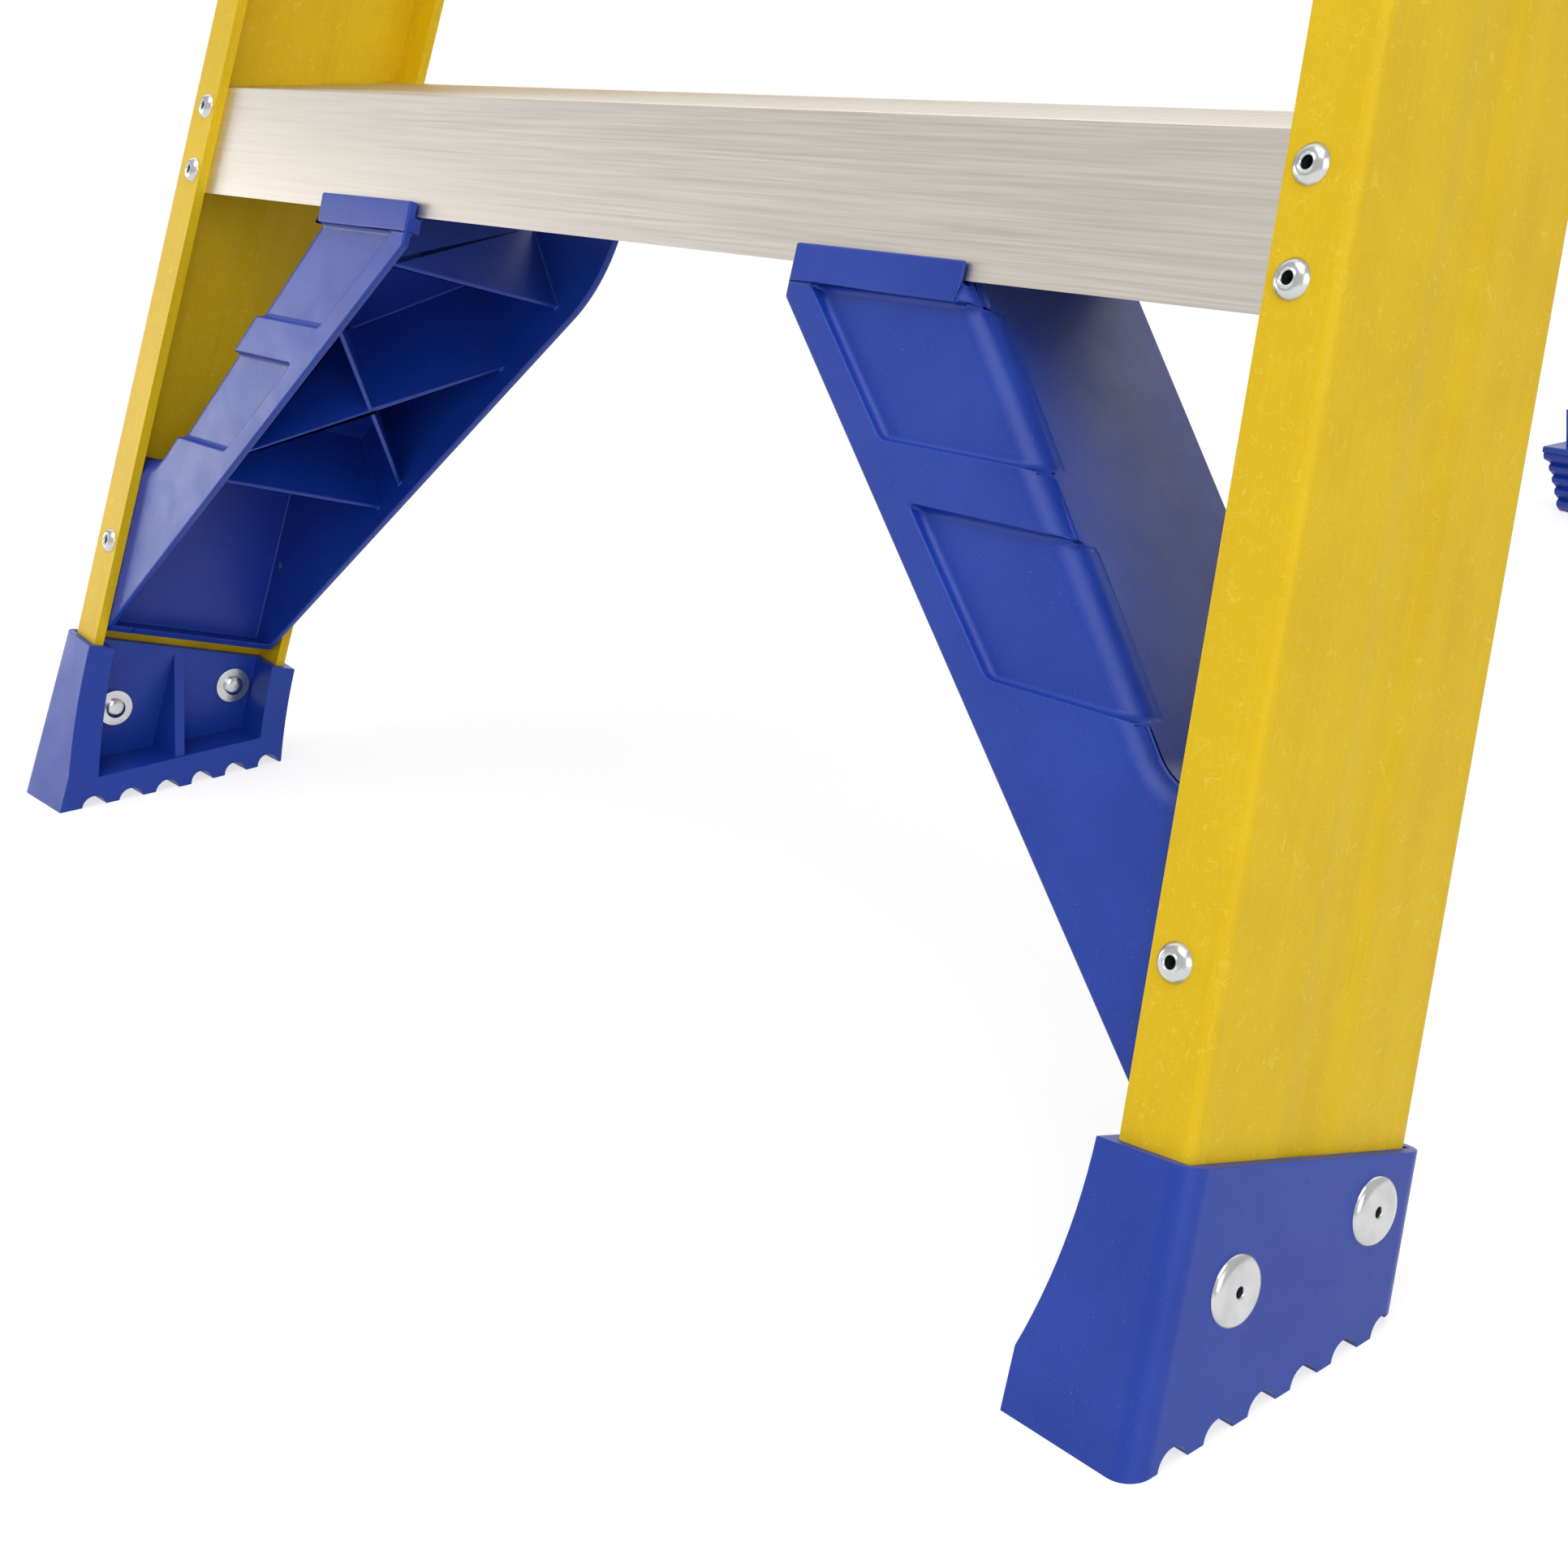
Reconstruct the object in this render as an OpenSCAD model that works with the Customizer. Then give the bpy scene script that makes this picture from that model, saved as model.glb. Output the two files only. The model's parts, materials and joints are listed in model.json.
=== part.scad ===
// Folding step ladder with fibreglass rails, five extruded treads and moulded feet.
// The ladder stands open on the floor. The front frame carries the treads and the cap,
// and the rear frame hangs from the cap on two hinge pins, held by two folding spreaders.
// X runs across the ladder, Y towards the rear frame and Z up. The origin is on the floor.

/* [Overall] */
// Width over the front rails at the floor
base_width = 625; // [560:1:750]
// Width over the rear rails at the floor
rear_base_width = 384; // [340:1:460]
// Front of the front feet to back of the rear feet, standing open
base_spread = 1092; // [920:1:1310]
// Lean of the front frame from upright, in degrees
front_lean = 16.45; // [13:0.05:19]
// Inward taper of each front rail, in degrees
front_taper = 5.1; // [4:0.1:6]

/* [Front rails] */
// Depth of the front rail, front flange to rear flange
rail_depth = 90.5; // [76:0.5:108]
// Width of a flange
rail_flange = 20.5; // [18:0.5:25]
// Thickness of the web and the flanges
rail_wall = 4; // [3:0.1:5]
// Radius of the outer corners
rail_corner = 3; // [1:0.5:3.5]
// Depth of the shallow channel along the middle of the web
rail_groove = 0.9; // [0.5:0.1:1.5]
// Width of that channel over its sloping sides
rail_groove_width = 24; // [16:1:30]

/* [Treads] */
// Height between treads, along the front rail
step_spacing = 304.8; // [280:0.1:366]
// Height of the front and rear aprons of a tread
apron_height = 42.6; // [36:0.1:51]
// Thickness of the aprons and the top of a tread
step_wall = 2.2; // [1.8:0.1:3]
// Width of one rib of the tread
tread_rib = 2.6; // [2:0.1:3.5]
// Height of one rib of the tread
tread_rib_height = 0.8; // [0.5:0.1:1.2]

/* [Braces] */
// Length of a brace along the bottom tread, from the outside of the rail
brace_reach = 189; // [160:1:210]
// Slope of the open edge of a brace
brace_edge_slope = 43.1; // [40:0.1:46]
// Slope of the outer skin of a brace
brace_skin_slope = 48.2; // [47:0.1:51]
// Height of the foot end of a brace up the rail
brace_bottom = 76; // [74:1:84]
// Height of the ledge where a brace fills the rail
brace_ledge = 151; // [140:1:160]
// Distance from the outside of the rail to the skin, at the ledge
brace_ledge_width = 29.2; // [26:0.1:34]
// Wall of a brace
brace_wall = 3; // [2.4:0.1:3.6]
// Depth of the two panels in the front of a brace
panel_depth = 3.2; // [2:0.1:4]
// Thickness of the stiffening ribs in a brace
brace_rib = 2; // [1.5:0.1:3]
// Length of the hook that clips over the apron
hook_length = 68; // [50:1:80]
// Height of the hook above the lower edge of the apron
hook_rise = 5; // [3:0.5:9]

/* [Front feet] */
// Height of a boot up the rail
boot_height = 72; // [60:1:73]
// Thickness of a boot around the rail
boot_wall = 3.4; // [2.8:0.1:4.5]
// Thickness of the sole
sole_thickness = 12.3; // [10:0.1:15]
// How far the front of a boot spreads at the floor
toe_flare = 3; // [1:0.5:6]
// How far the inner side of a boot spreads at the floor
instep_flare = 12; // [6:0.5:14]
// Radius of the outer corners of a boot
boot_corner = 7; // [4:0.5:9]
// Radius of a tread groove in a sole
groove_radius = 5.5; // [4.5:0.1:6.5]
// Depth of a tread groove in a sole
groove_depth = 4.3; // [3:0.1:5]
// Distance between tread grooves
groove_pitch = 16.6; // [14:0.1:20]

/* [Rear frame] */
// Depth of a rear rail
rear_depth = 50; // [40:0.5:60]
// Width of a rear flange
rear_flange = 25; // [20:0.5:30]
// Thickness of a rear rail
rear_wall = 3.5; // [3:0.1:4.5]
// Height of a rear cross bar
bar_height = 36; // [30:1:44]
// Depth of a rear cross bar
bar_depth = 14; // [10:1:18]
// Sheet thickness of the cross bars and gussets
bar_wall = 2; // [1.5:0.1:2.5]
// Width of a gusset strip
gusset_width = 20; // [18:1:26]

/* [Rear feet] */
// Height of a rear foot up the rail
rear_foot_height = 74; // [66:1:90]
// Thickness of a rear foot around the rail
rear_foot_wall = 4.5; // [3.5:0.1:6]
// Height of the lip above the floor
lip_height = 46; // [40:1:54]
// Thickness of the lip
lip_thickness = 4.5; // [3:0.5:6]
// How far the lip stands out
lip_reach = 10.5; // [8:0.5:13]
// How far the heel runs out behind the rear rail
heel_reach = 15; // [10:1:18]

/* [Cap] */
// Height of the cap
cap_height = 76; // [70:1:90]
// Wall of the cap
cap_wall = 3.5; // [3:0.1:4.5]
// Thickness of the cap's top
cap_top = 6; // [5:0.1:7]
// Depth of the tray in the top of the cap
tray_depth = 2; // [1:0.5:3]
// Width of the rim around the tray
tray_rim = 9; // [7:1:14]
// Radius of the screwdriver holes
tool_hole_radius = 9; // [7:0.5:11]
// Length of the plier slot
tool_slot_length = 70; // [50:1:90]
// Width of the plier slot
tool_slot_width = 18; // [14:1:22]

/* [Hinge and spreaders] */
// Space between the folded frames
fold_gap = 16; // [13:1:22]
// Distance from the top of the cap down to the hinge pins
hinge_drop = 45; // [42:1:50]
// Radius of a hinge pin
hinge_pin_radius = 5; // [4:0.5:6]
// Distance from the hinge pins down to the spreader pivots
spreader_drop = 850; // [780:1:900]
// Half distance between the outer faces of the two spreaders
spreader_half = 193; // [188:1:198]
// Width of a spreader bar
link_width = 20; // [16:1:22]
// Thickness of a spreader bar
link_thickness = 3; // [2.5:0.1:3.5]
// How far the front pivots stand behind the front rails
pivot_reach = 14; // [13:1:18]

/* [Fasteners] */
// Radius of a rivet shank
rivet_radius = 2.4; // [2:0.1:3]
// Radius of a rivet head
rivet_head = 5; // [4.5:0.1:6]
// Radius of the wide heads on the feet
wide_head = 9.1; // [8:0.1:10]

/* [Clearances] */
// Gap around a moulding that sits on a rail
mould_fit = 0.3; // [0.2:0.05:0.5]
// Gap around a rivet shank
rivet_fit = 0.1; // [0.05:0.05:0.2]
// Radial gap of a turning joint
pivot_fit = 0.05; // [0.03:0.01:0.1]
// Gap between parts that slide past each other
slide_gap = 0.3; // [0.2:0.05:0.5]

/* [Hidden] */
$fn = 64;

right = 1;
left = -1;
step_count = 5;
far = 3000;

ladder_length = step_spacing * (step_count + 1);
cap_top_z = ladder_length * cos(front_lean);
front_y = -base_spread / 2 + (boot_wall + toe_flare) / cos(front_lean);
rear_edge_y = base_spread / 2;

// Outside face of a front rail, at a height v up the front frame
function rail_x(v) = base_width / 2 - v * tan(front_taper);
// Inside of the web, clear of the ridge that its channel makes, with the gap of a moulding
web_inset = rail_wall + rail_groove + mould_fit;
function web_x(v) = rail_x(v) - web_inset / cos(front_taper);
function step_v(i) = step_spacing * i;

// Hinge, placed behind the front frame so that the two frames fold face to face
hinge_w = rail_depth + fold_gap + rear_depth / 2;
hinge_z = cap_top_z - hinge_drop;
hinge_v = (hinge_z + hinge_w * sin(front_lean)) / cos(front_lean);
hinge_y = front_y + hinge_v * sin(front_lean) + hinge_w * cos(front_lean);

// Lean of the rear frame, from the hinge down to the heel on the floor
hinge_run = rear_edge_y - hinge_y;
heel_offset = rear_depth / 2 + heel_reach;
rear_lean = acos(heel_offset / norm([hinge_run, hinge_z])) - atan2(hinge_z, hinge_run);
rear_y = rear_edge_y - (rear_depth + heel_reach) / cos(rear_lean);
hinge_rear_v = (hinge_z - rear_depth / 2 * sin(rear_lean)) / cos(rear_lean);
fold_angle = front_lean + rear_lean;

// Rear rails run down from inside the cap to their width at the floor
rear_side_gap = 4.5;
rear_top_half = rail_x(hinge_v) - rear_side_gap;
rear_taper = atan((rear_base_width / 2 - rear_top_half) / hinge_rear_v);
function rear_x(v) = rear_base_width / 2 - v * tan(rear_taper);

// Spreader pivots, equally far from the hinge, with the two links in line when open
front_pivot_w = rail_depth + pivot_reach;
front_pivot_v = hinge_v - sqrt(pow(spreader_drop, 2) - pow(hinge_w - front_pivot_w, 2));
front_pivot_y = front_y + front_pivot_v * sin(front_lean) + front_pivot_w * cos(front_lean);
front_pivot_z = front_pivot_v * cos(front_lean) - front_pivot_w * sin(front_lean);
rear_pivot_v = hinge_rear_v - spreader_drop;
rear_pivot_y = rear_y + rear_depth / 2 * cos(rear_lean) - rear_pivot_v * sin(rear_lean);
rear_pivot_z = rear_depth / 2 * sin(rear_lean) + rear_pivot_v * cos(rear_lean);
link_run = [rear_pivot_y - front_pivot_y, rear_pivot_z - front_pivot_z];
link_length = norm(link_run) / 2;
link_slope = atan2(link_run[1], link_run[0]);
front_link_x = spreader_half - link_thickness;
rear_link_x = front_link_x - slide_gap - link_thickness;
ear_x = spreader_half + slide_gap;
bracket_wall = 2.5;

// Rivets through the flanges
flange_rivet_inset = 13.4;
step_rivet_drops = [8.6, 34.4];
rivet_crown = 2.2;
rivet_tail_height = 2;
brace_rivet_v = 114;
boot_rivet_z = 34.4;
boot_rivets_w = [21, 74];
inner_washer_radius = 7.8;
inner_washer = 1.2;
wide_crown = 1.8;

// ---------------------------------------------------------------- frames of reference

// Front frame: X across, Y through the depth of the rails, Z up along them
module in_front_frame()
{
    translate([0, front_y, 0]) rotate([-front_lean, 0, 0]) children();
}

// Rear frame, seen the same way
module in_rear_frame()
{
    translate([0, rear_y, 0]) rotate([rear_lean, 0, 0]) children();
}

// A front rail's own frame: X out of the web, Y through its depth, Z along it
module in_front_rail()
{
    in_front_frame() translate([base_width / 2, 0, 0]) rotate([0, -front_taper, 0]) children();
}

module in_rear_rail()
{
    in_rear_frame() translate([rear_base_width / 2, 0, 0]) rotate([0, -rear_taper, 0]) children();
}

module on_side(side)
{
    if (side == left)
        mirror([1, 0, 0]) children();
    else
        children();
}

module both_sides()
{
    children();
    mirror([1, 0, 0]) children();
}

// Turns a flat outline drawn across and up into a slab between two depths
module slab(y0, y1)
{
    translate([0, y1, 0]) rotate([90, 0, 0]) linear_extrude(y1 - y0) children();
}

// Turns a side outline, drawn through the depth and up, into a bar between two widths
module across(x0, x1)
{
    translate([x0, 0, 0]) rotate([90, 0, 90]) linear_extrude(x1 - x0) children();
}

// Everything above a height over the floor
module above(z)
{
    translate([-far, -far, z]) cube([2 * far, 2 * far, far]);
}

// A disc or pin along X
module pin_x(radius, x0, x1)
{
    translate([x0, 0, 0]) rotate([0, 90, 0]) cylinder(r = radius, h = x1 - x0);
}

// ---------------------------------------------------------------- fasteners

// Tubular rivet along Z with its crown above zero and its tail under the grip
module rivet(grip, head = rivet_head, crown = rivet_crown)
{
    eye = rivet_radius * 0.75;
    rim = head - 0.5;
    rotate_extrude()
        polygon([
            [0, crown * 0.15], [eye * 0.9, crown * 0.15], [eye, crown * 0.7],
            [eye * 1.35, crown], [head * 0.66, crown * 0.86], [head * 0.86, crown * 0.56],
            [head, crown * 0.16], [head, 0], [rivet_radius, 0], [rivet_radius, -grip],
            [rivet_radius * 1.6, -grip], [rivet_radius * 1.6, -grip - rivet_tail_height * 0.5],
            [rivet_radius * 1.1, -grip - rivet_tail_height], [0, -grip - rivet_tail_height]
        ]);
}

module rivet_hole(depth)
{
    translate([0, 0, -depth]) cylinder(r = rivet_radius + rivet_fit, h = 2 * depth);
}

// Points a part that is drawn along Z out of the front, the back or the side
module facing_front() { rotate([90, 0, 0]) children(); }
module facing_back() { rotate([-90, 0, 0]) children(); }
module facing_out() { rotate([0, 90, 0]) children(); }

// Rivet places of one tread end, on the front face and on the back face of the rail
module at_step_rivets(i)
{
    back_rise = (rail_depth - 2 * rail_wall) * tan(front_lean);
    for (drop = step_rivet_drops) {
        front_v = step_v(i) - drop;
        back_v = front_v + back_rise;
        translate([rail_x(front_v) - flange_rivet_inset, 0, front_v]) facing_front() children();
        translate([rail_x(back_v) - flange_rivet_inset, rail_depth, back_v])
            facing_back() children();
    }
}

module at_brace_rivets()
{
    x = rail_x(brace_rivet_v) - flange_rivet_inset;
    translate([x, 0, brace_rivet_v]) facing_front() children();
    translate([x, rail_depth, brace_rivet_v]) facing_back() children();
}

// Places of the wide rivets of a boot, level over the floor, on the web of the rail
module at_boot_rivets(out)
{
    for (w = boot_rivets_w)
        translate([out, w, (boot_rivet_z + w * sin(front_lean)) / cos(front_lean)])
            facing_out() children();
}

// ---------------------------------------------------------------- front rails

// Section of a channel: web on the right, flanges to the left, two outer corners rounded
module channel_section(depth, flange, wall, corner)
{
    difference() {
        translate([-flange, 0]) square([flange, depth]);
        translate([-flange - 1, wall]) square([flange - wall + 1, depth - 2 * wall]);
        corner_cut(corner);
        translate([0, depth]) mirror([0, 1]) corner_cut(corner);
    }
}

// What is taken off a right-hand corner at the origin to round it
module corner_cut(radius)
{
    difference() {
        translate([-radius, -1]) square([radius + 1, radius + 1]);
        translate([-radius, radius]) circle(r = radius);
    }
}

// The web is pressed in a little along its middle, at the same thickness
module front_rail_section()
{
    middle = rail_depth / 2;
    edge = rail_groove_width / 2;
    floor_edge = edge * 0.4;
    inner = -rail_wall - rail_groove;
    difference() {
        polygon([
            [-rail_flange, 0], [0, 0], [0, middle - edge], [-rail_groove, middle - floor_edge],
            [-rail_groove, middle + floor_edge], [0, middle + edge], [0, rail_depth],
            [-rail_flange, rail_depth], [-rail_flange, rail_depth - rail_wall],
            [-rail_wall, rail_depth - rail_wall], [-rail_wall, middle + edge],
            [inner, middle + floor_edge], [inner, middle - floor_edge],
            [-rail_wall, middle - edge], [-rail_wall, rail_wall], [-rail_flange, rail_wall]
        ]);
        corner_cut(rail_corner);
        translate([0, rail_depth]) mirror([0, 1]) corner_cut(rail_corner);
    }
}

rail_foot_z = sole_thickness + mould_fit;
rail_end = (cap_top_z - cap_top - 1) / cos(front_lean) / cos(front_taper);

module front_rail(side)
{
    color("gold") on_side(side) difference() {
        intersection() {
            in_front_rail() linear_extrude(rail_end) front_rail_section();
            above(rail_foot_z);
        }
        in_front_frame() {
            for (i = [1:step_count])
                at_step_rivets(i) rivet_hole(2 * rail_wall);
            at_brace_rivets() rivet_hole(2 * rail_wall);
            at_bracket_rivets() rivet_hole(2 * rail_wall);
        }
        in_front_rail() {
            at_boot_rivets(0) rivet_hole(2 * rail_wall);
            at_cap_rivets() rivet_hole(2 * rail_wall);
        }
    }
}

// ---------------------------------------------------------------- treads

tread_depth = rail_depth - 2 * rail_wall;

// Side outline of a tread: a channel open below, its top level when the ladder stands
module step_section(i)
{
    slope = tan(front_lean);
    rib_count = floor((tread_depth - 4 * step_wall) / (2 * tread_rib));
    margin = (tread_depth - (2 * rib_count - 1) * tread_rib) / 2;
    function top(w, drop) = [rail_wall + w, step_v(i) + w * slope - drop];
    ribs = [
        for (k = [0:rib_count - 1])
            let (start = margin + 2 * k * tread_rib)
            each [
                top(start, tread_rib_height), top(start + tread_rib * 0.2, 0),
                top(start + tread_rib * 0.8, 0), top(start + tread_rib, tread_rib_height)
            ]
    ];
    polygon(concat(
        [top(0, apron_height), top(0, 0), top(margin * 0.7, 0),
         top(margin * 0.7 + 0.4, tread_rib_height)],
        ribs,
        [top(tread_depth - margin * 0.7 - 0.4, tread_rib_height),
         top(tread_depth - margin * 0.7, 0),
         top(tread_depth, 0), top(tread_depth, apron_height),
         top(tread_depth - step_wall, apron_height),
         top(tread_depth - step_wall, step_wall + tread_rib_height),
         top(step_wall, step_wall + tread_rib_height), top(step_wall, apron_height)]
    ));
}

module step(i)
{
    low = step_v(i) - 2 * apron_height;
    high = step_v(i) + 2 * apron_height;
    color("silver") in_front_frame() difference() {
        intersection() {
            across(-base_width, base_width) step_section(i);
            slab(0, rail_depth)
                polygon([
                    [-web_x(low), low], [web_x(low), low],
                    [web_x(high), high], [-web_x(high), high]
                ]);
        }
        both_sides() at_step_rivets(i) rivet_hole(rail_wall + 2 * step_wall);
    }
}

module step_rivets(side)
{
    color("whitesmoke") on_side(side) in_front_frame()
        for (i = [1:step_count])
            at_step_rivets(i) rivet(rail_wall + step_wall);
}

// ---------------------------------------------------------------- braces

apron_foot = step_v(1) - apron_height;
brace_x = rail_x(apron_foot) - brace_reach;
hook_front = mould_fit;
hook_body = 10.9;
brace_edge_v = apron_foot - hook_body;
brace_nest = 12;
brace_top = apron_foot + brace_nest;
brace_back = rail_depth - rail_wall - step_wall - mould_fit;
brace_skin_x = rail_x(brace_ledge) - brace_ledge_width;
function edge_x(v) = brace_x + (brace_edge_v - v) / tan(brace_edge_slope);
function skin_x(v, inset = 0) =
    brace_skin_x - (v - brace_ledge) / tan(brace_skin_slope) - inset / sin(brace_skin_slope);

// The front wall slants from the hook, which stands out, to the back of the rail's flange
brace_slant = atan((rail_wall + mould_fit - hook_front) / (edge_x(brace_bottom) - brace_x));

// Front wall's own frame: Y is the depth behind its outer face
module in_brace_wall()
{
    translate([brace_x, hook_front, 0]) rotate([0, 0, brace_slant]) children();
}

// Arm's own frame: X down the open edge, Z square to it towards the skin
module in_brace_arm()
{
    translate([brace_x, 0, brace_edge_v]) rotate([0, brace_edge_slope, 0]) children();
}

module brace_outline()
{
    polygon([
        [brace_x, brace_top], [brace_x, brace_edge_v],
        [edge_x(brace_bottom), brace_bottom], [web_x(brace_bottom), brace_bottom],
        [web_x(brace_ledge), brace_ledge], [skin_x(brace_ledge), brace_ledge],
        [skin_x(brace_top), brace_top]
    ]);
}

module brace_hollow_outline()
{
    low = brace_bottom + brace_wall;
    high = brace_ledge - brace_wall;
    past = brace_top + 50;
    polygon([
        [brace_x - 50, past], [brace_x - 50, low], [web_x(low) - brace_wall, low],
        [web_x(high) - brace_wall, high], [skin_x(high, brace_wall), high],
        [skin_x(past, brace_wall), past]
    ]);
}

panel_border = 13;
panel_gap = 15;
panel_1 = [apron_foot - 5.7, apron_foot - 44.6];
panel_2 = [apron_foot - 60, apron_foot - 98.4];

// One panel in the front wall, grown outwards by a margin. It runs out past the skin.
module panel_outline(panel, grow)
{
    border = (panel_border - grow) / sin(brace_edge_slope);
    top = panel[0] + grow;
    foot = panel[1] - grow;
    polygon([
        [edge_x(top) + border - brace_x, top], [edge_x(foot) + border - brace_x, foot],
        [skin_x(foot) + 40 - brace_x, foot], [skin_x(top) + 40 - brace_x, top]
    ]);
}

// Rounds the corner where a panel runs out into the skin
panel_round = 7;
module panel_corner_cut(panel)
{
    intersection() {
        slab(-1, panel_depth + panel_round + 1) panel_outline(panel, 0);
        translate([skin_x(panel[1]) - brace_x, panel_depth, panel[1]])
            rotate([0, brace_skin_slope - 90, 0])
                translate([0, 0, -80]) linear_extrude(240) corner_cut(panel_round);
    }
}

module brace_hollow()
{
    difference() {
        intersection() {
            slab(-50, brace_back - brace_wall) brace_hollow_outline();
            in_brace_wall() translate([-far, brace_wall, -far]) cube([2 * far, far, 2 * far]);
        }
        in_brace_wall()
            for (panel = [panel_1, panel_2])
                intersection() {
                    slab(0, panel_depth + panel_round + brace_wall)
                        panel_outline(panel, brace_wall);
                    union() {
                        slab(0, panel_depth + brace_wall) panel_outline(panel, brace_wall);
                        panel_corner_fill(panel);
                    }
                }
    }
}

// Keeps the wall behind the rounded corner of a panel as thick as the rest
module panel_corner_fill(panel)
{
    translate([skin_x(panel[1]) - brace_x, panel_depth, panel[1]])
        rotate([0, brace_skin_slope - 90, 0])
            translate([-panel_round - brace_wall, 0, -80])
                cube([panel_round + brace_wall, panel_round + brace_wall, 240]);
}

cross_rib_angle = 47;
cross_rib_centre = 94;
end_ribs = [16, 151];
rib_inset = 6;

module brace_ribs()
{
    middle = (brace_back + rail_wall) / 2;
    intersection() {
        slab(0, brace_back - brace_wall / 2) brace_hollow_outline();
        in_brace_wall() translate([-far, brace_wall / 2, -far]) cube([2 * far, far, 2 * far]);
        slab(0, rail_depth) brace_outline();
        in_brace_arm() translate([0, 0, rib_inset]) {
            for (s = end_ribs)
                translate([s - brace_rib / 2, 0, 0]) cube([brace_rib, rail_depth, 100]);
            translate([cross_rib_centre, middle, 0])
                for (turn = [-cross_rib_angle, cross_rib_angle])
                    rotate([0, 0, 90 + turn])
                        translate([-rail_depth, -brace_rib / 2, 0])
                            cube([2 * rail_depth, brace_rib, 100]);
        }
    }
}

pad = 24;
pad_recess = 18;

// A square pad of the rear wall stands back to meet the rear flange at its rivet
module brace_pad(size, y0, y1)
{
    x = rail_x(brace_rivet_v) - flange_rivet_inset;
    translate([x - size / 2, y0, brace_rivet_v - size / 2]) cube([size, y1 - y0, size]);
}

module brace_pad_body()
{
    intersection() {
        brace_pad(pad, brace_back - brace_wall, rail_depth - rail_wall - mould_fit);
        slab(0, rail_depth) brace_outline();
    }
}

// The lower edge of the apron sits in a slot between the hook and the front wall
module brace_hook()
{
    difference() {
        in_brace_wall()
            translate([0, 0, brace_edge_v])
                cube([hook_length, rail_wall + step_wall, hook_body + hook_rise]);
        translate([0, rail_wall - mould_fit, apron_foot - mould_fit])
            cube([far, step_wall + 2 * mould_fit, far]);
    }
}

// Shell of a brace, cut away in front of the apron that it stands behind
module brace_shell()
{
    difference() {
        slab(-50, brace_back) brace_outline();
        brace_hollow();
        in_brace_wall() {
            translate([-far, -far, -far]) cube([2 * far, far, 2 * far]);
            for (panel = [panel_1, panel_2]) {
                slab(-1, panel_depth) panel_outline(panel, 0);
                panel_corner_cut(panel);
            }
        }
    }
}

module brace(side)
{
    tail = rail_wall + mould_fit + brace_wall;
    apron_back = rail_wall + step_wall + mould_fit;
    color("royalblue") on_side(side) in_front_frame() difference() {
        union() {
            difference() {
                union() {
                    brace_shell();
                    brace_ribs();
                }
                translate([-far, -far, apron_foot - mould_fit])
                    cube([2 * far, far + apron_back, far]);
            }
            brace_pad_body();
            brace_hook();
        }
        brace_pad(pad_recess, 0, rail_depth - tail);
        at_brace_rivets() rivet_hole(4 * rail_wall);
    }
}

module brace_rivets()
{
    color("whitesmoke") both_sides() in_front_frame()
        at_brace_rivets() rivet(rail_wall + mould_fit + brace_wall + 0.3);
}

// ---------------------------------------------------------------- front feet

// Front view of a boot: straight outside, with a curved inner side that spreads to the floor
instep_start = boot_height + 6;
instep_end = 17.6;
instep_run = instep_start - instep_end;
instep_radius = (pow(instep_run, 2) + pow(instep_flare, 2)) / (2 * instep_flare);
boot_inner = rail_flange + mould_fit + boot_wall;

module boot_front_view()
{
    arc_steps = 12;
    arc = [
        for (k = [0:arc_steps])
            let (z = instep_end + (boot_height - instep_end) * k / arc_steps)
            let (drop = instep_start - z)
            [-boot_inner - instep_radius + sqrt(pow(instep_radius, 2) - pow(drop, 2)), z]
    ];
    foot_x = arc[0][0] - instep_end * tan(front_taper);
    polygon(concat(
        [[boot_wall + mould_fit, boot_height], [boot_wall + mould_fit, -20],
         [foot_x, -20]],
        arc
    ));
}

// Plan with both outer corners rounded. Its front leans out towards the floor.
module boot_plan()
{
    draft = atan((toe_flare - mould_fit) / boot_height);
    intersection() {
        translate([0, -boot_wall - mould_fit, boot_height]) rotate([-draft, 0, 0])
            translate([0, 0, -2 * boot_height])
                linear_extrude(3 * boot_height) boot_corner_section(2 * rail_depth);
        translate([0, rail_depth + boot_wall + mould_fit, -boot_height]) mirror([0, 1, 0])
            linear_extrude(3 * boot_height) boot_corner_section(2 * rail_depth);
    }
}

module boot_corner_section(depth)
{
    translate([boot_wall + mould_fit, 0]) difference() {
        translate([-far, 0]) square([far, depth]);
        corner_cut(boot_corner);
    }
}

// Rounded grooves across a sole, from its front edge back
module sole_grooves(first_y, count)
{
    for (k = [0:count - 1])
        translate([0, first_y + k * groove_pitch, groove_depth - groove_radius])
            rotate([0, 90, 0]) translate([0, 0, -far / 2])
                cylinder(r = groove_radius, h = far, $fn = 32);
}

groove_count = 6;
first_groove = 15.3;

module front_foot(side)
{
    shell = mould_fit + boot_wall;
    lining = web_inset + boot_wall;
    skin = rail_wall + mould_fit + boot_wall;
    rib = 4.5;
    color("mediumblue") on_side(side) difference() {
        intersection() {
            in_front_rail() intersection() {
                slab(-20, rail_depth + 20) boot_front_view();
                boot_plan();
            }
            above(0);
        }
        intersection() {
            in_front_rail() translate([0, 0, -20]) linear_extrude(boot_height + 40)
                boot_slot_section();
            above(sole_thickness);
        }
        intersection() {
            in_front_rail() difference() {
                translate([-far - lining, skin, -20])
                    cube([far, rail_depth - 2 * skin, boot_height + 40]);
                boot_gusset(lining, rib);
            }
            above(sole_thickness);
        }
        translate([0, -base_spread / 2 + first_groove, 0]) sole_grooves(0, groove_count);
        in_front_rail() at_boot_rivets(0) rivet_hole(3 * shell + rail_wall);
    }
}

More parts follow.
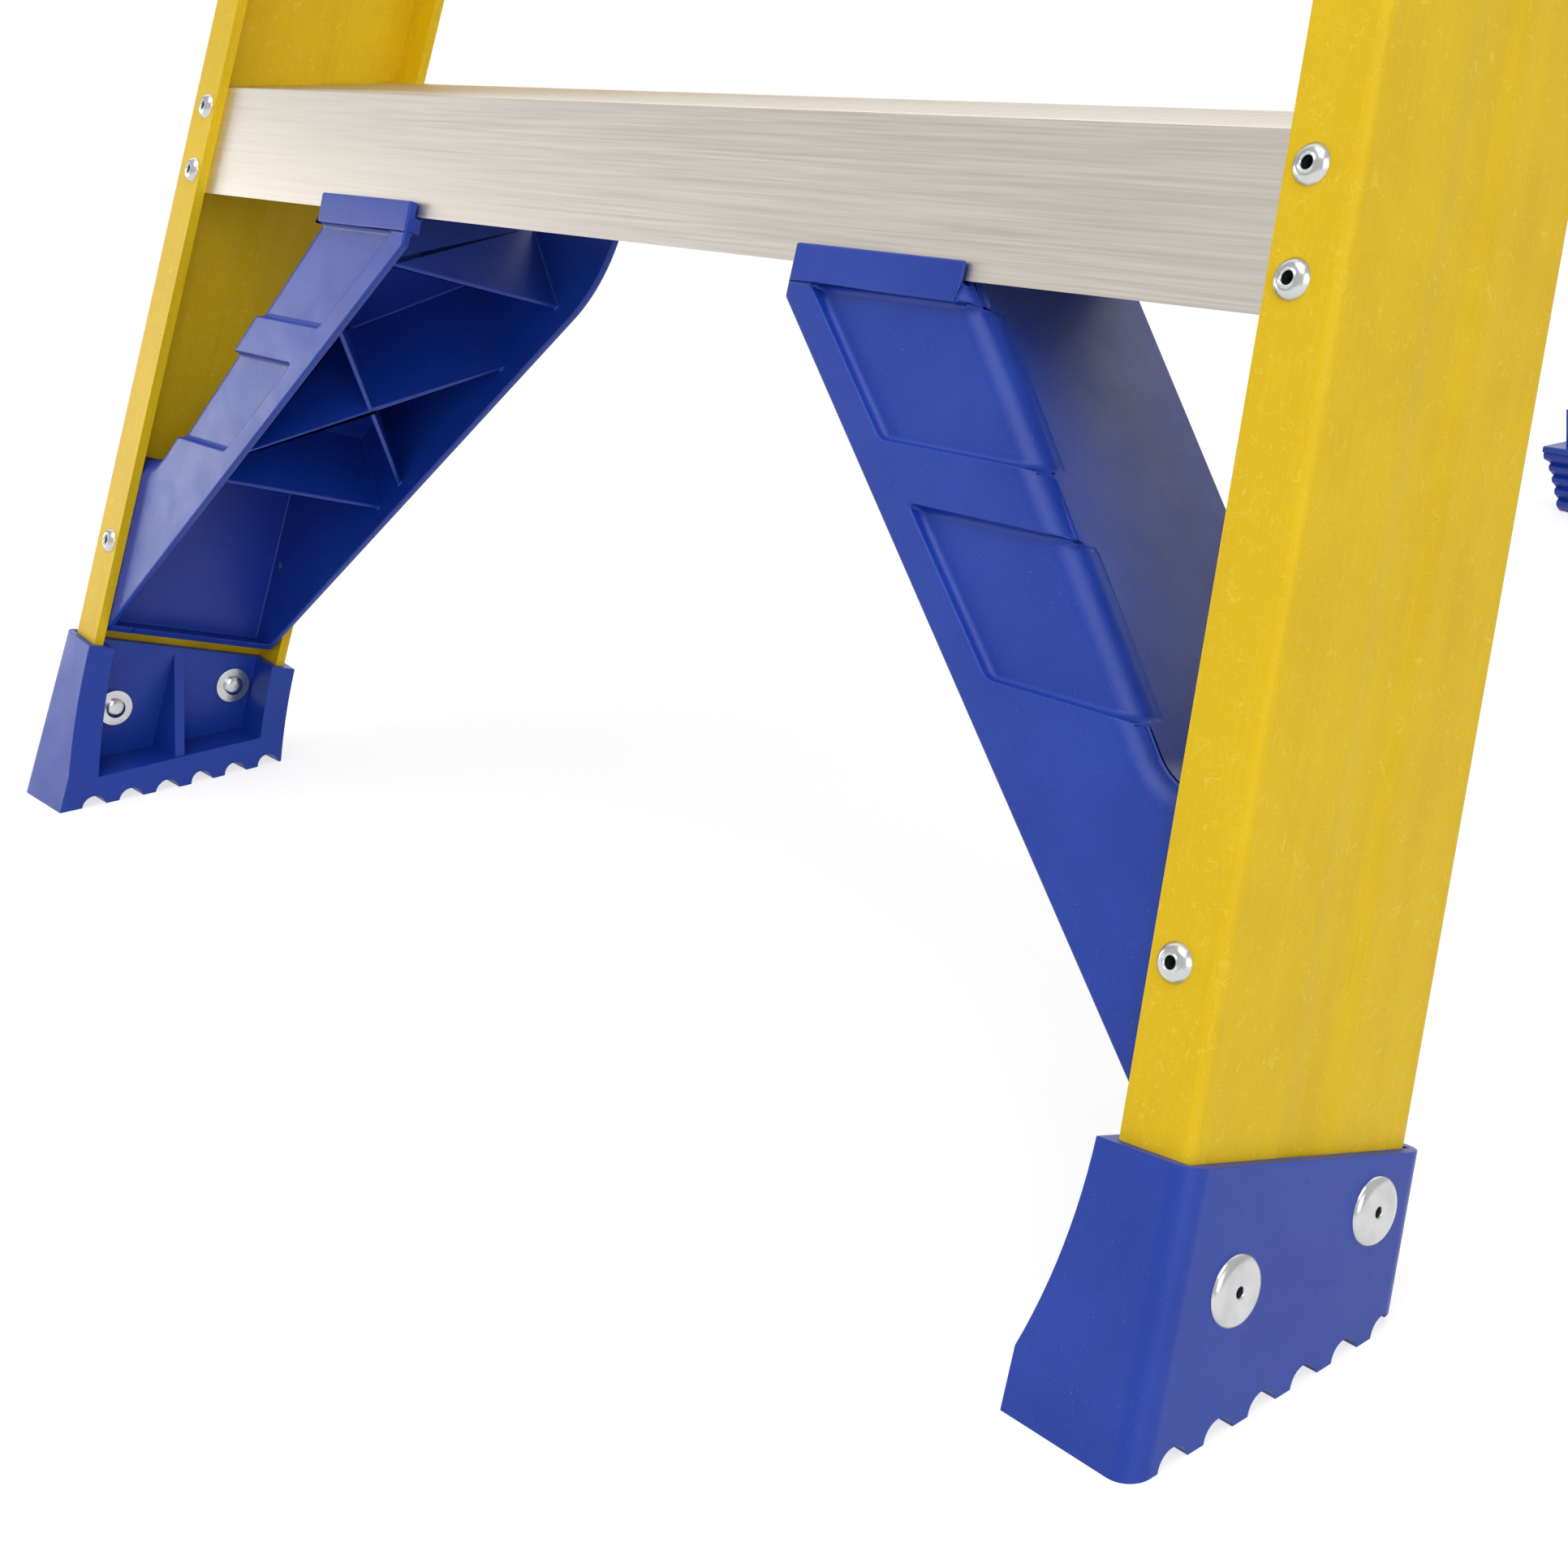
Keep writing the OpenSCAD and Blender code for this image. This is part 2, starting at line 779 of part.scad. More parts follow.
// The slot that the rail stands in, with its gap all round
module boot_slot_section()
{
    gap = mould_fit;
    difference() {
        translate([-rail_flange - gap, -gap])
            square([rail_flange + 2 * gap, rail_depth + 2 * gap]);
        translate([-rail_flange - 1, rail_wall + gap])
            square([rail_flange + 1 - web_inset, rail_depth - 2 * rail_wall - 2 * gap]);
    }
}

// Triangular gusset from the inner plate down to the edge of the sole
module boot_gusset(lining, rib)
{
    slab(rail_depth / 2 - rib / 2, rail_depth / 2 + rib / 2)
        polygon([
            [-lining + 1, boot_height - 3], [-lining, boot_height - 3],
            [-boot_inner - instep_flare + 3, 2 * sole_thickness],
            [-boot_inner - instep_flare + 3, 0], [-lining + 1, 0]
        ]);
}

boot_grip = mould_fit + 2 * boot_wall + web_inset + inner_washer;

module front_foot_rivets()
{
    color("gainsboro") both_sides() in_front_rail()
        at_boot_rivets(mould_fit + boot_wall) rivet(boot_grip, wide_head, wide_crown);
}

module front_foot_washers()
{
    inner = -web_inset - boot_wall;
    color("gainsboro") both_sides() in_front_rail()
        at_boot_rivets(inner) difference() {
            translate([0, 0, -inner_washer]) cylinder(r = inner_washer_radius, h = inner_washer);
            rivet_hole(2 * inner_washer);
        }
}

// ---------------------------------------------------------------- cap

// Where a plane of the front or rear frame, at a depth w, stands at a height z
function front_plane_y(z, w) = front_y + z * tan(front_lean) + w / cos(front_lean);
function rear_plane_y(z, w) = rear_y - z * tan(rear_lean) + w / cos(rear_lean);

cap_rear_gap = 9;
cap_corner = 8;

// Block that follows the rails outside and the rear frame behind, grown by a wall
module cap_block(grow, top_z, foot_z, corner)
{
    front_w = -mould_fit - grow;
    rear_w = rear_depth + cap_rear_gap + grow;
    intersection() {
        across(-far / 2, far / 2)
            polygon([
                [front_plane_y(foot_z, front_w), foot_z], [rear_plane_y(foot_z, rear_w), foot_z],
                [rear_plane_y(top_z, rear_w), top_z], [front_plane_y(top_z, front_w), top_z]
            ]);
        cap_flank(grow, corner);
        mirror([1, 0, 0]) cap_flank(grow, corner);
    }
}

module cap_flank(grow, corner)
{
    in_front_rail() translate([mould_fit + grow, -mould_fit - grow, 0])
        linear_extrude(2 * ladder_length) difference() {
            translate([-far, 0]) square([far, far]);
            corner_cut(corner);
        }
}

// Plan of the tray, with its corners cut. Its sides follow the sides of the cap.
module tray_outline()
{
    front = front_plane_y(cap_top_z, -mould_fit - cap_wall) + tray_rim;
    back = rear_plane_y(cap_top_z, rear_depth + cap_rear_gap + cap_wall) - tray_rim;
    function side(y) =
        rail_x(cap_top_z * cos(front_lean) + (y - front_y) * sin(front_lean)) + cap_wall - tray_rim;
    cut = tray_rim / 2;
    polygon([
        for (s = [right, left])
            let (ends = [[-cut, front], [0, front + cut], [0, back - cut], [-cut, back]])
            for (end = s == right ? ends : [ends[3], ends[2], ends[1], ends[0]])
                [s * (side(end[1]) + end[0]), end[1]]
    ]);
}

cap_foot_z = cap_top_z - cap_height;
hinge_boss = 13;
boss_outer_x = rail_x(hinge_v) + cap_wall + mould_fit + 1.6;
boss_inner_x = rail_x(hinge_v) - 1.2;

module at_hinge()
{
    translate([0, hinge_y, hinge_z]) children();
}

module at_cap_rivets()
{
    for (place = [[26, 24], [66, 34]])
        translate([0, place[0], rail_end - place[1]]) facing_out() children();
}

tool_holes_x = [-78, 78];
cap_mid_y = (front_plane_y(cap_top_z, 0) + rear_plane_y(cap_top_z, rear_depth + cap_rear_gap)) / 2;

module cap_tool_holes()
{
    for (x = tool_holes_x)
        translate([x, cap_mid_y, cap_top_z - 2 * cap_top])
            cylinder(r = tool_hole_radius, h = 4 * cap_top);
    translate([0, cap_mid_y, cap_top_z - 2 * cap_top]) linear_extrude(4 * cap_top) {
        square([tool_slot_length - tool_slot_width, tool_slot_width], center = true);
        for (end = [-1, 1])
            translate([end * (tool_slot_length - tool_slot_width) / 2, 0])
                circle(d = tool_slot_width);
    }
}

module cap_ribs()
{
    rib = 2.5;
    rib_depth = 24;
    intersection() {
        cap_block(-rib / 2, cap_top_z - cap_top / 2, cap_top_z - cap_top - rib_depth, 1);
        for (x = [-52, 52])
            translate([x - rib / 2, -far / 2, 0]) cube([rib, far, far]);
    }
}

module top_cap()
{
    tray_z = cap_top_z - tray_depth;
    color("royalblue") difference() {
        union() {
            difference() {
                cap_block(cap_wall, cap_top_z, cap_foot_z, cap_corner);
                cap_block(0, cap_top_z - cap_top, cap_foot_z - 1, rail_corner);
                translate([0, 0, tray_z]) linear_extrude(2 * tray_depth) tray_outline();
            }
            cap_ribs();
            both_sides() at_hinge() pin_x(hinge_boss, boss_inner_x, boss_outer_x);
        }
        cap_tool_holes();
        both_sides() {
            at_hinge() pin_x(hinge_pin_radius + rivet_fit, 0, far);
            in_front_rail() at_cap_rivets() rivet_hole(3 * cap_wall);
        }
    }
}

module cap_rivets()
{
    color("whitesmoke") both_sides() in_front_rail()
        translate([mould_fit + cap_wall, 0, 0])
            at_cap_rivets() rivet(cap_wall + mould_fit + rail_wall + rail_groove + 0.3);
}

// ---------------------------------------------------------------- hinge

bush_flange = 1.5;
bush_wall = 2.5;
bush_radius = hinge_pin_radius + pivot_fit + bush_wall;
bush_outer_x = rear_top_half + bush_flange + mould_fit;
bush_inner_x = rear_top_half - rear_wall - mould_fit - 0.7;

// Pin with a domed head outside the cap and an upset end inside the rear rail
module hinge_pin(side)
{
    head = 9;
    dome = 3.5;
    end = bush_inner_x - slide_gap;
    color("lightgray") on_side(side) at_hinge() rotate([0, 90, 0]) rotate_extrude()
        polygon([
            [0, boss_outer_x + dome], [head * 0.45, boss_outer_x + dome * 0.92],
            [head * 0.8, boss_outer_x + dome * 0.62], [head, boss_outer_x + dome * 0.2],
            [head, boss_outer_x], [hinge_pin_radius, boss_outer_x], [hinge_pin_radius, end],
            [hinge_pin_radius * 1.5, end], [hinge_pin_radius * 1.5, end - dome * 0.5],
            [hinge_pin_radius * 1.1, end - dome], [0, end - dome]
        ]);
}

module hinge_washers()
{
    thickness = boss_inner_x - bush_outer_x - 2 * slide_gap;
    color("lightgray") both_sides() at_hinge()
        difference() {
            pin_x(hinge_boss - 2, bush_outer_x + slide_gap, bush_outer_x + slide_gap + thickness);
            pin_x(hinge_pin_radius + rivet_fit, 0, far);
        }
}

module hinge_bushes()
{
    color("white") both_sides() at_hinge()
        difference() {
            union() {
                pin_x(bush_radius, bush_inner_x, bush_outer_x);
                pin_x(hinge_boss - 2, bush_outer_x - bush_flange, bush_outer_x);
            }
            pin_x(hinge_pin_radius + pivot_fit, 0, far);
        }
}

// ---------------------------------------------------------------- spreaders

bracket_rivet_spread = 11;
bracket_half = 19;
pivot_radius = 4;
pivot_head = 6.5;
pivot_dome = 2.4;

module at_bracket_rivets()
{
    for (rise = [-bracket_rivet_spread, bracket_rivet_spread]) {
        v = front_pivot_v + rise;
        translate([rail_x(v) - flange_rivet_inset, rail_depth, v]) facing_back() children();
    }
}

// Bent steel bracket: a plate on the rear flange and an ear that holds the pivot
module spreader_bracket(side)
{
    plate_edge = rail_x(front_pivot_v) - rail_corner - 3;
    color("silver") on_side(side) in_front_frame() difference() {
        union() {
            translate([ear_x, rail_depth, front_pivot_v - bracket_half])
                cube([plate_edge - ear_x, bracket_wall, 2 * bracket_half]);
            translate([0, 0, front_pivot_v])
                across(ear_x, ear_x + bracket_wall) {
                    translate([rail_depth, -link_width / 2])
                        square([pivot_reach, link_width]);
                    translate([front_pivot_w, 0]) circle(d = link_width);
                }
        }
        at_bracket_rivets() rivet_hole(3 * bracket_wall);
        translate([0, front_pivot_w, front_pivot_v])
            pin_x(pivot_radius + rivet_fit, 0, far);
    }
}

module bracket_rivets()
{
    color("whitesmoke") both_sides() in_front_frame()
        translate([0, bracket_wall, 0])
            at_bracket_rivets() rivet(bracket_wall + rail_wall);
}

// Rivet along X that a link turns on: a dome at each end of its grip
module pivot_rivet(x0, x1)
{
    rotate([0, 90, 0]) rotate_extrude()
        polygon([
            [0, x1 + pivot_dome], [pivot_head * 0.6, x1 + pivot_dome * 0.85],
            [pivot_head, x1 + pivot_dome * 0.25], [pivot_head, x1], [pivot_radius, x1],
            [pivot_radius, x0], [pivot_head, x0], [pivot_head, x0 - pivot_dome * 0.25],
            [pivot_head * 0.6, x0 - pivot_dome * 0.85], [0, x0 - pivot_dome]
        ]);
}

module at_front_pivot() { translate([0, front_pivot_y, front_pivot_z]) children(); }
module at_rear_pivot() { translate([0, rear_pivot_y, rear_pivot_z]) children(); }
module at_elbow()
{
    translate([0, (front_pivot_y + rear_pivot_y) / 2, (front_pivot_z + rear_pivot_z) / 2])
        children();
}

module front_pivot(side)
{
    color("lightgray") on_side(side) at_front_pivot()
        pivot_rivet(front_link_x - slide_gap, ear_x + bracket_wall);
}

// A flat bar with round ends and an eye at each, from its pivot to the elbow
module link_bar(x, pivot_gap, elbow_gap)
{
    across(x, x + link_thickness) difference() {
        union() {
            translate([0, -link_width / 2]) square([link_length, link_width]);
            circle(d = link_width);
            translate([link_length, 0]) circle(d = link_width);
        }
        circle(r = pivot_radius + pivot_gap);
        translate([link_length, 0]) circle(r = pivot_radius + elbow_gap);
    }
}

module front_link(side)
{
    color("silver") on_side(side) at_front_pivot() rotate([link_slope, 0, 0])
        link_bar(front_link_x, pivot_fit, rivet_fit);
}

module rear_link(side)
{
    color("silver") on_side(side) at_rear_pivot() rotate([180 + link_slope, 0, 0])
        link_bar(rear_link_x, pivot_fit, rivet_fit);
}

// The elbow rivet comes in two halves, one for each link, that meet between the links
module elbow_rivet(side, from, to)
{
    dome = sign(to - from) * pivot_dome;
    color("lightgray") on_side(side) at_elbow() rotate([0, 90, 0]) rotate_extrude()
        polygon([
            [0, from], [pivot_radius, from], [pivot_radius, to], [pivot_head, to],
            [pivot_head, to + dome * 0.25], [pivot_head * 0.6, to + dome * 0.85],
            [0, to + dome]
        ]);
}

// ---------------------------------------------------------------- rear frame

rear_rail_top = 20;
rear_bars_v = [230, 620, 1030, 1440];
bar_rivet_rise = 9;
rear_rail_foot_z = sole_thickness + mould_fit;

module at_rear_bar_rivets(i)
{
    for (rise = [-bar_rivet_rise, bar_rivet_rise]) {
        v = rear_bars_v[i] + rise;
        translate([rear_x(v) - rear_flange / 2, rear_depth, v]) facing_back() children();
    }
}

module rear_rail(side)
{
    color("tomato") on_side(side) difference() {
        intersection() {
            in_rear_rail() linear_extrude(hinge_rear_v + rear_rail_top)
                channel_section(rear_depth, rear_flange, rear_wall, rail_corner);
            above(rear_rail_foot_z);
        }
        in_rear_frame() {
            for (i = [0:3])
                at_rear_bar_rivets(i) rivet_hole(2 * rear_wall);
            at_gusset_foot() rivet_hole(2 * rear_wall);
        }
        in_rear_rail() at_rear_foot_rivets(0) rivet_hole(2 * rear_wall);
        at_hinge() pin_x(bush_radius + rivet_fit, 0, far);
        at_rear_pivot() pin_x(pivot_radius + rivet_fit, 0, far);
    }
}

// Channel bar across the back of the rear rails, its lips turned forward between them
module rear_bar(i)
{
    v = rear_bars_v[i];
    half = rear_x(v) - 2;
    lip_half = rear_x(v + bar_height) - rear_flange - 2;
    color("silver") in_rear_frame() difference() {
        union() {
            translate([-half, rear_depth, v - bar_height / 2])
                cube([2 * half, bar_wall, bar_height]);
            for (z = [v - bar_height / 2, v + bar_height / 2 - bar_wall])
                translate([-lip_half, rear_depth - bar_depth + bar_wall, z])
                    cube([2 * lip_half, bar_depth, bar_wall]);
        }
        both_sides() at_rear_bar_rivets(i) rivet_hole(2 * rear_wall);
        if (i == 0)
            both_sides() at_gusset_head() rivet_hole(4 * bar_wall);
    }
}

module rear_bar_rivets()
{
    color("whitesmoke") both_sides() in_rear_frame() translate([0, bar_wall, 0])
        for (i = [0:3])
            at_rear_bar_rivets(i) rivet(bar_wall + rear_wall);
}

// Gusset strip from the bottom bar down to each rear rail, stepped to lie flat on both
gusset_head_x = 70;
gusset_foot_v = 108;
gusset_foot_x = rear_x(gusset_foot_v) - rear_flange / 2;
gusset_run = [gusset_foot_x - gusset_head_x, gusset_foot_v - rear_bars_v[0]];
gusset_length = norm(gusset_run);
gusset_slope = atan2(-gusset_run[1], gusset_run[0]);

module at_gusset_head()
{
    translate([gusset_head_x, rear_depth, rear_bars_v[0]]) facing_back() children();
}

module at_gusset_foot()
{
    translate([gusset_foot_x, rear_depth, gusset_foot_v]) facing_back() children();
}

module gusset(side)
{
    round_end = gusset_width / 2;
    step_at = gusset_length - 2 * round_end;
    color("silver") on_side(side) in_rear_frame() difference() {
        translate([gusset_head_x, rear_depth, rear_bars_v[0]]) rotate([0, gusset_slope, 0])
            intersection() {
                translate([0, 0, -round_end]) linear_extrude(gusset_width) polygon([
                    [-far, bar_wall], [step_at, bar_wall], [step_at + 2 * bar_wall, 0],
                    [far, 0], [far, bar_wall], [step_at + 2.5 * bar_wall, bar_wall],
                    [step_at + 0.5 * bar_wall, 2 * bar_wall], [-far, 2 * bar_wall]
                ]);
                slab(-1, 3 * bar_wall) {
                    circle(r = round_end);
                    translate([gusset_length, 0]) circle(r = round_end);
                    translate([0, -round_end]) square([gusset_length, gusset_width]);
                }
            }
        at_gusset_head() rivet_hole(4 * bar_wall);
        at_gusset_foot() rivet_hole(4 * bar_wall);
    }
}

module gusset_rivets()
{
    color("whitesmoke") both_sides() in_rear_frame() {
        translate([0, 2 * bar_wall, 0]) at_gusset_head() rivet(2 * bar_wall);
        translate([0, bar_wall, 0]) at_gusset_foot() rivet(bar_wall + rear_wall);
    }
}

module rear_spacers()
{
    face = rear_x(rear_pivot_v) + pivot_head * tan(rear_taper);
    color("lightgray") both_sides() at_rear_pivot() difference() {
        pin_x(pivot_head, face, rear_link_x - slide_gap);
        pin_x(pivot_radius + rivet_fit, 0, far);
    }
}

module rear_pivot(side)
{
    web_inner = rear_x(rear_pivot_v) - rear_wall - pivot_head * tan(rear_taper);
    color("lightgray") on_side(side) at_rear_pivot()
        pivot_rivet(web_inner - slide_gap, spreader_half - link_thickness);
}

// ---------------------------------------------------------------- rear feet

rear_rivet_z = 62;
rear_rivets_w = [17, 33];

module at_rear_foot_rivets(out)
{
    for (w = rear_rivets_w)
        translate([out, w, rear_rivet_z]) facing_out() children();
}

// Side view of the sole: flat on the floor, rising in scallops at the toe up to the lip
toe_scallops = 5;
module rear_sole_view()
{
    lip_y = rear_plane_y(lip_height, -rear_foot_wall - mould_fit - lip_reach);
    toe_y = rear_y - 7;
    rise = lip_height - lip_thickness;
    crest = rise / toe_scallops;
    function toe_at(z) = toe_y + (lip_y + 2 - toe_y) * pow(z / rise, 1.3);
    scallops = [
        for (k = [0:toe_scallops - 1])
            let (low = toe_at(k * crest), high = toe_at((k + 1) * crest))
            each [
                [low + 1.6, k * crest + 0.6], [low - 0.4, k * crest + crest * 0.25],
                [(low + high) / 2 - 1.6, k * crest + crest * 0.55],
                [high - 0.4, k * crest + crest * 0.88]
            ]
    ];
    polygon(concat(
        [[toe_y + 3, 0]], scallops,
        [[lip_y + 2, rise], [lip_y, rise + 0.8], [lip_y, lip_height - 0.8],
         [lip_y + 1, lip_height], [rear_plane_y(lip_height, rear_depth + rear_foot_wall),
         lip_height], [rear_edge_y, 3], [rear_edge_y - 2, 0]]
    ));
}

module rear_foot(side)
{
    wall = rear_foot_wall + mould_fit;
    lining = rear_wall + mould_fit + rear_foot_wall;
    inner = rear_flange + wall + 6;
    color("mediumblue") on_side(side) difference() {
        union() {
            in_rear_rail() translate([-rear_flange - wall, -wall, 0])
                cube([rear_flange + 2 * wall, rear_depth + 2 * wall, rear_foot_height]);
            intersection() {
                across(0, far) rear_sole_view();
                in_rear_rail() slab(-far, far) polygon([
                    [-inner, -50], [-inner, lip_height + 9], [wall + lip_reach, lip_height + 9],
                    [wall + lip_reach, lip_height - lip_thickness - 1],
                    [wall + lip_reach - 2, lip_height - lip_thickness - 3],
                    [wall + lip_reach - 6, 0], [wall + lip_reach - 6, -50]
                ]);
            }
        }
        translate([-far, -far, -far]) cube([2 * far, 2 * far, far]);
        intersection() {
            in_rear_rail() translate([0, 0, -20]) linear_extrude(rear_foot_height + 40) {
                difference() {
                    translate([-rear_flange - mould_fit, -mould_fit])
                        square([rear_flange + 2 * mould_fit, rear_depth + 2 * mould_fit]);
                    translate([-far, rear_wall + mould_fit])
                        square([far - rear_wall - mould_fit,
                                rear_depth - 2 * rear_wall - 2 * mould_fit]);
                }
                translate([-far - lining, lining]) square([far, rear_depth - 2 * lining]);
            }
            above(sole_thickness);
        }
        translate([0, rear_y, 0]) sole_grooves(7, 4);
        in_rear_rail() at_rear_foot_rivets(0) rivet_hole(3 * wall + rear_wall);
    }
}

rear_foot_grip = 2 * mould_fit + 2 * rear_foot_wall + rear_wall + inner_washer;

module rear_foot_rivets()
{
    color("gainsboro") both_sides() in_rear_rail()
        at_rear_foot_rivets(mould_fit + rear_foot_wall)
            rivet(rear_foot_grip, inner_washer_radius, wide_crown);
}

module rear_foot_washers()
{
    inner = -rear_wall - mould_fit - rear_foot_wall;
    color("gainsboro") both_sides() in_rear_rail()
        at_rear_foot_rivets(inner) difference() {
            translate([0, 0, -inner_washer]) cylinder(r = inner_washer_radius, h = inner_washer);
            rivet_hole(2 * inner_washer);
        }
}

// ---------------------------------------------------------------- nodes

front_rail(left);  // front_rail_left
front_rail(right);  // front_rail_right
step(1);  // step_1
step(2);  // step_2
step(3);  // step_3
step(4);  // step_4
step(5);  // step_5
brace(left);  // brace_left
brace(right);  // brace_right
front_foot(left);  // front_foot_left
front_foot(right);  // front_foot_right
step_rivets(left);  // step_rivets_left
step_rivets(right);  // step_rivets_right
brace_rivets();
front_foot_rivets();
front_foot_washers();
top_cap();
cap_rivets();
hinge_pin(left);  // hinge_pin_left
hinge_pin(right);  // hinge_pin_right
hinge_washers();
spreader_bracket(left);  // spreader_bracket_left
spreader_bracket(right);  // spreader_bracket_right
bracket_rivets();
front_pivot(left);  // front_pivot_left
front_pivot(right);  // front_pivot_right
front_link(left);  // front_link_left
front_link(right);  // front_link_right
rear_link(left);  // rear_link_left
rear_link(right);  // rear_link_right
elbow_rivet(left, front_link_x, spreader_half);  // elbow_rivet_front_left
elbow_rivet(right, front_link_x, spreader_half);  // elbow_rivet_front_right
elbow_rivet(left, rear_link_x + link_thickness, rear_link_x);  // elbow_rivet_rear_left
elbow_rivet(right, rear_link_x + link_thickness, rear_link_x);  // elbow_rivet_rear_right
rear_rail(left);  // rear_rail_left
rear_rail(right);  // rear_rail_right
rear_bar(0);  // rear_bar_1
rear_bar(1);  // rear_bar_2
rear_bar(2);  // rear_bar_3
rear_bar(3);  // rear_bar_4
gusset(left);  // gusset_left
gusset(right);  // gusset_right
rear_bar_rivets();
gusset_rivets();
rear_foot(left);  // rear_foot_left
rear_foot(right);  // rear_foot_right
rear_foot_rivets();
rear_foot_washers();
hinge_bushes();
rear_spacers();
rear_pivot(left);  // rear_pivot_left
rear_pivot(right);  // rear_pivot_right
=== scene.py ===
# %% [markdown]
# # A fibreglass step ladder
# The ladder stands open on the floor of a bright studio. Its front frame has two yellow rails,
# ribbed treads, blue moulded braces and boots, and a cap on top. The rear frame is orange and
# folds in under the cap. The solid parts come ready made. This lesson gives them their finish,
# rounds the edges of the mouldings, and sets up the light and the camera.

import json
import math

import bmesh
import bpy
from mathutils import Matrix, Vector

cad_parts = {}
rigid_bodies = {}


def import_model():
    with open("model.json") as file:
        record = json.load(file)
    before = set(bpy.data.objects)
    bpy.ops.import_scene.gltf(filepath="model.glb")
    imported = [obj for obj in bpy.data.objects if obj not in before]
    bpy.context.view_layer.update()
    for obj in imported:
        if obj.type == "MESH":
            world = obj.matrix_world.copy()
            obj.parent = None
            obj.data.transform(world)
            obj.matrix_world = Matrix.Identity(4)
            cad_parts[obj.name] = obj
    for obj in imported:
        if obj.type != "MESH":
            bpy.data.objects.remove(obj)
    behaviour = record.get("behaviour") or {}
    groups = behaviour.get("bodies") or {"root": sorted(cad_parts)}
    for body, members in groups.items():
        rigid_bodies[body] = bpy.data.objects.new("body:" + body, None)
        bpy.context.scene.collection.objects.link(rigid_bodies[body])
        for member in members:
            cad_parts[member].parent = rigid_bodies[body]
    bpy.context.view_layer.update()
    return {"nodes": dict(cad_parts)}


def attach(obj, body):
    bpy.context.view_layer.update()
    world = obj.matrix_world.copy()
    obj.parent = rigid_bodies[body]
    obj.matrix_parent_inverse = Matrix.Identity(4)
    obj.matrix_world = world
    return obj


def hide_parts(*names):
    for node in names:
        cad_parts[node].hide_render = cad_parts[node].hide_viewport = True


for thing in list(bpy.data.objects):
    bpy.data.objects.remove(thing)

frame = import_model()

# %% [markdown]
# The camera stands low beside the right front foot and looks up along the ladder to the left,
# so the near foot is large and the top of the ladder runs out of the picture. A lens of about
# 51 mm gives the same strong perspective. The small shift keeps the upright lines where they
# belong without turning the camera.

# %% Camera
CAMERA_PLACE = Vector((0.590367, -0.878980, 0.314461))
CAMERA_YAW = math.radians(50.546)
CAMERA_PITCH = math.radians(-17.959)
CAMERA_ROLL = math.radians(-0.276)

camera_data = bpy.data.cameras.new("camera")
camera_data.sensor_width = 36
camera_data.lens = 51.006
camera_data.shift_x = 0.01746
camera_data.shift_y = -0.02528
camera_data.clip_start = 0.02
camera = bpy.data.objects.new("camera", camera_data)
bpy.context.collection.objects.link(camera)
camera.matrix_world = (
    Matrix.Translation(CAMERA_PLACE)
    @ Matrix.Rotation(CAMERA_YAW, 4, "Z")
    @ Matrix.Rotation(math.pi / 2 + CAMERA_PITCH, 4, "X")
    @ Matrix.Rotation(CAMERA_ROLL, 4, "Z")
)
bpy.context.scene.camera = camera
print("camera at", tuple(round(c, 3) for c in CAMERA_PLACE))

# %% [markdown]
# The light and all the finishes are built from the same few pieces, so small helpers add a
# node, set its sockets and wire it. Patterns read Object coordinates, in metres. A Mapping
# node turns them to follow a leaning rail, because its streaks have to run along it.

# %% Node helpers
# Nearly all values of a noise lie in this span
NOISE_SPAN = (0.3, 0.7)


def new_material(name):
    """An empty material with an output, and its node tree."""
    material = bpy.data.materials.new(name)
    material.use_nodes = True
    tree = material.node_tree
    tree.nodes.clear()
    tree.nodes.new("ShaderNodeOutputMaterial")
    return material, tree


def add(tree, kind, **sockets):
    """Adds a shader node and sets its sockets by name."""
    node = tree.nodes.new(kind)
    for name, value in sockets.items():
        node.inputs[name.replace("_", " ")].default_value = value
    return node


def grey(level):
    """A neutral colour of one level."""
    return (level, level, level, 1)


def place_along(tree, turn=(0, 0, 0), stretch=(1, 1, 1)):
    """Object coordinates, turned and stretched."""
    source = tree.nodes.new("ShaderNodeTexCoord")
    turned = add(tree, "ShaderNodeMapping", Rotation=turn)
    scaled = add(tree, "ShaderNodeMapping", Scale=stretch)
    tree.links.new(source.outputs["Object"], turned.inputs["Vector"])
    tree.links.new(turned.outputs["Vector"], scaled.inputs["Vector"])
    return scaled.outputs["Vector"]


def noise(tree, vector, scale, detail=2.0, rough=0.5):
    """A noise value that follows the given coordinates."""
    node = add(tree, "ShaderNodeTexNoise", Scale=scale, Detail=detail, Roughness=rough)
    tree.links.new(vector, node.inputs["Vector"])
    return node.outputs["Fac"]


def ramp(tree, value, low, high, dark=0.0, light=1.0):
    """Maps a value from low..high to dark..light, held at its ends."""
    node = tree.nodes.new("ShaderNodeMapRange")
    node.inputs["From Min"].default_value = low
    node.inputs["From Max"].default_value = high
    node.inputs["To Min"].default_value = dark
    node.inputs["To Max"].default_value = light
    tree.links.new(value, node.inputs["Value"])
    return node.outputs["Result"]


def combine(tree, operation, first, second):
    """Joins two values, each a socket or a number."""
    node = tree.nodes.new("ShaderNodeMath")
    node.operation = operation
    for socket, value in zip(node.inputs, (first, second)):
        if isinstance(value, (int, float)):
            socket.default_value = value
        else:
            tree.links.new(value, socket)
    return node.outputs[0]


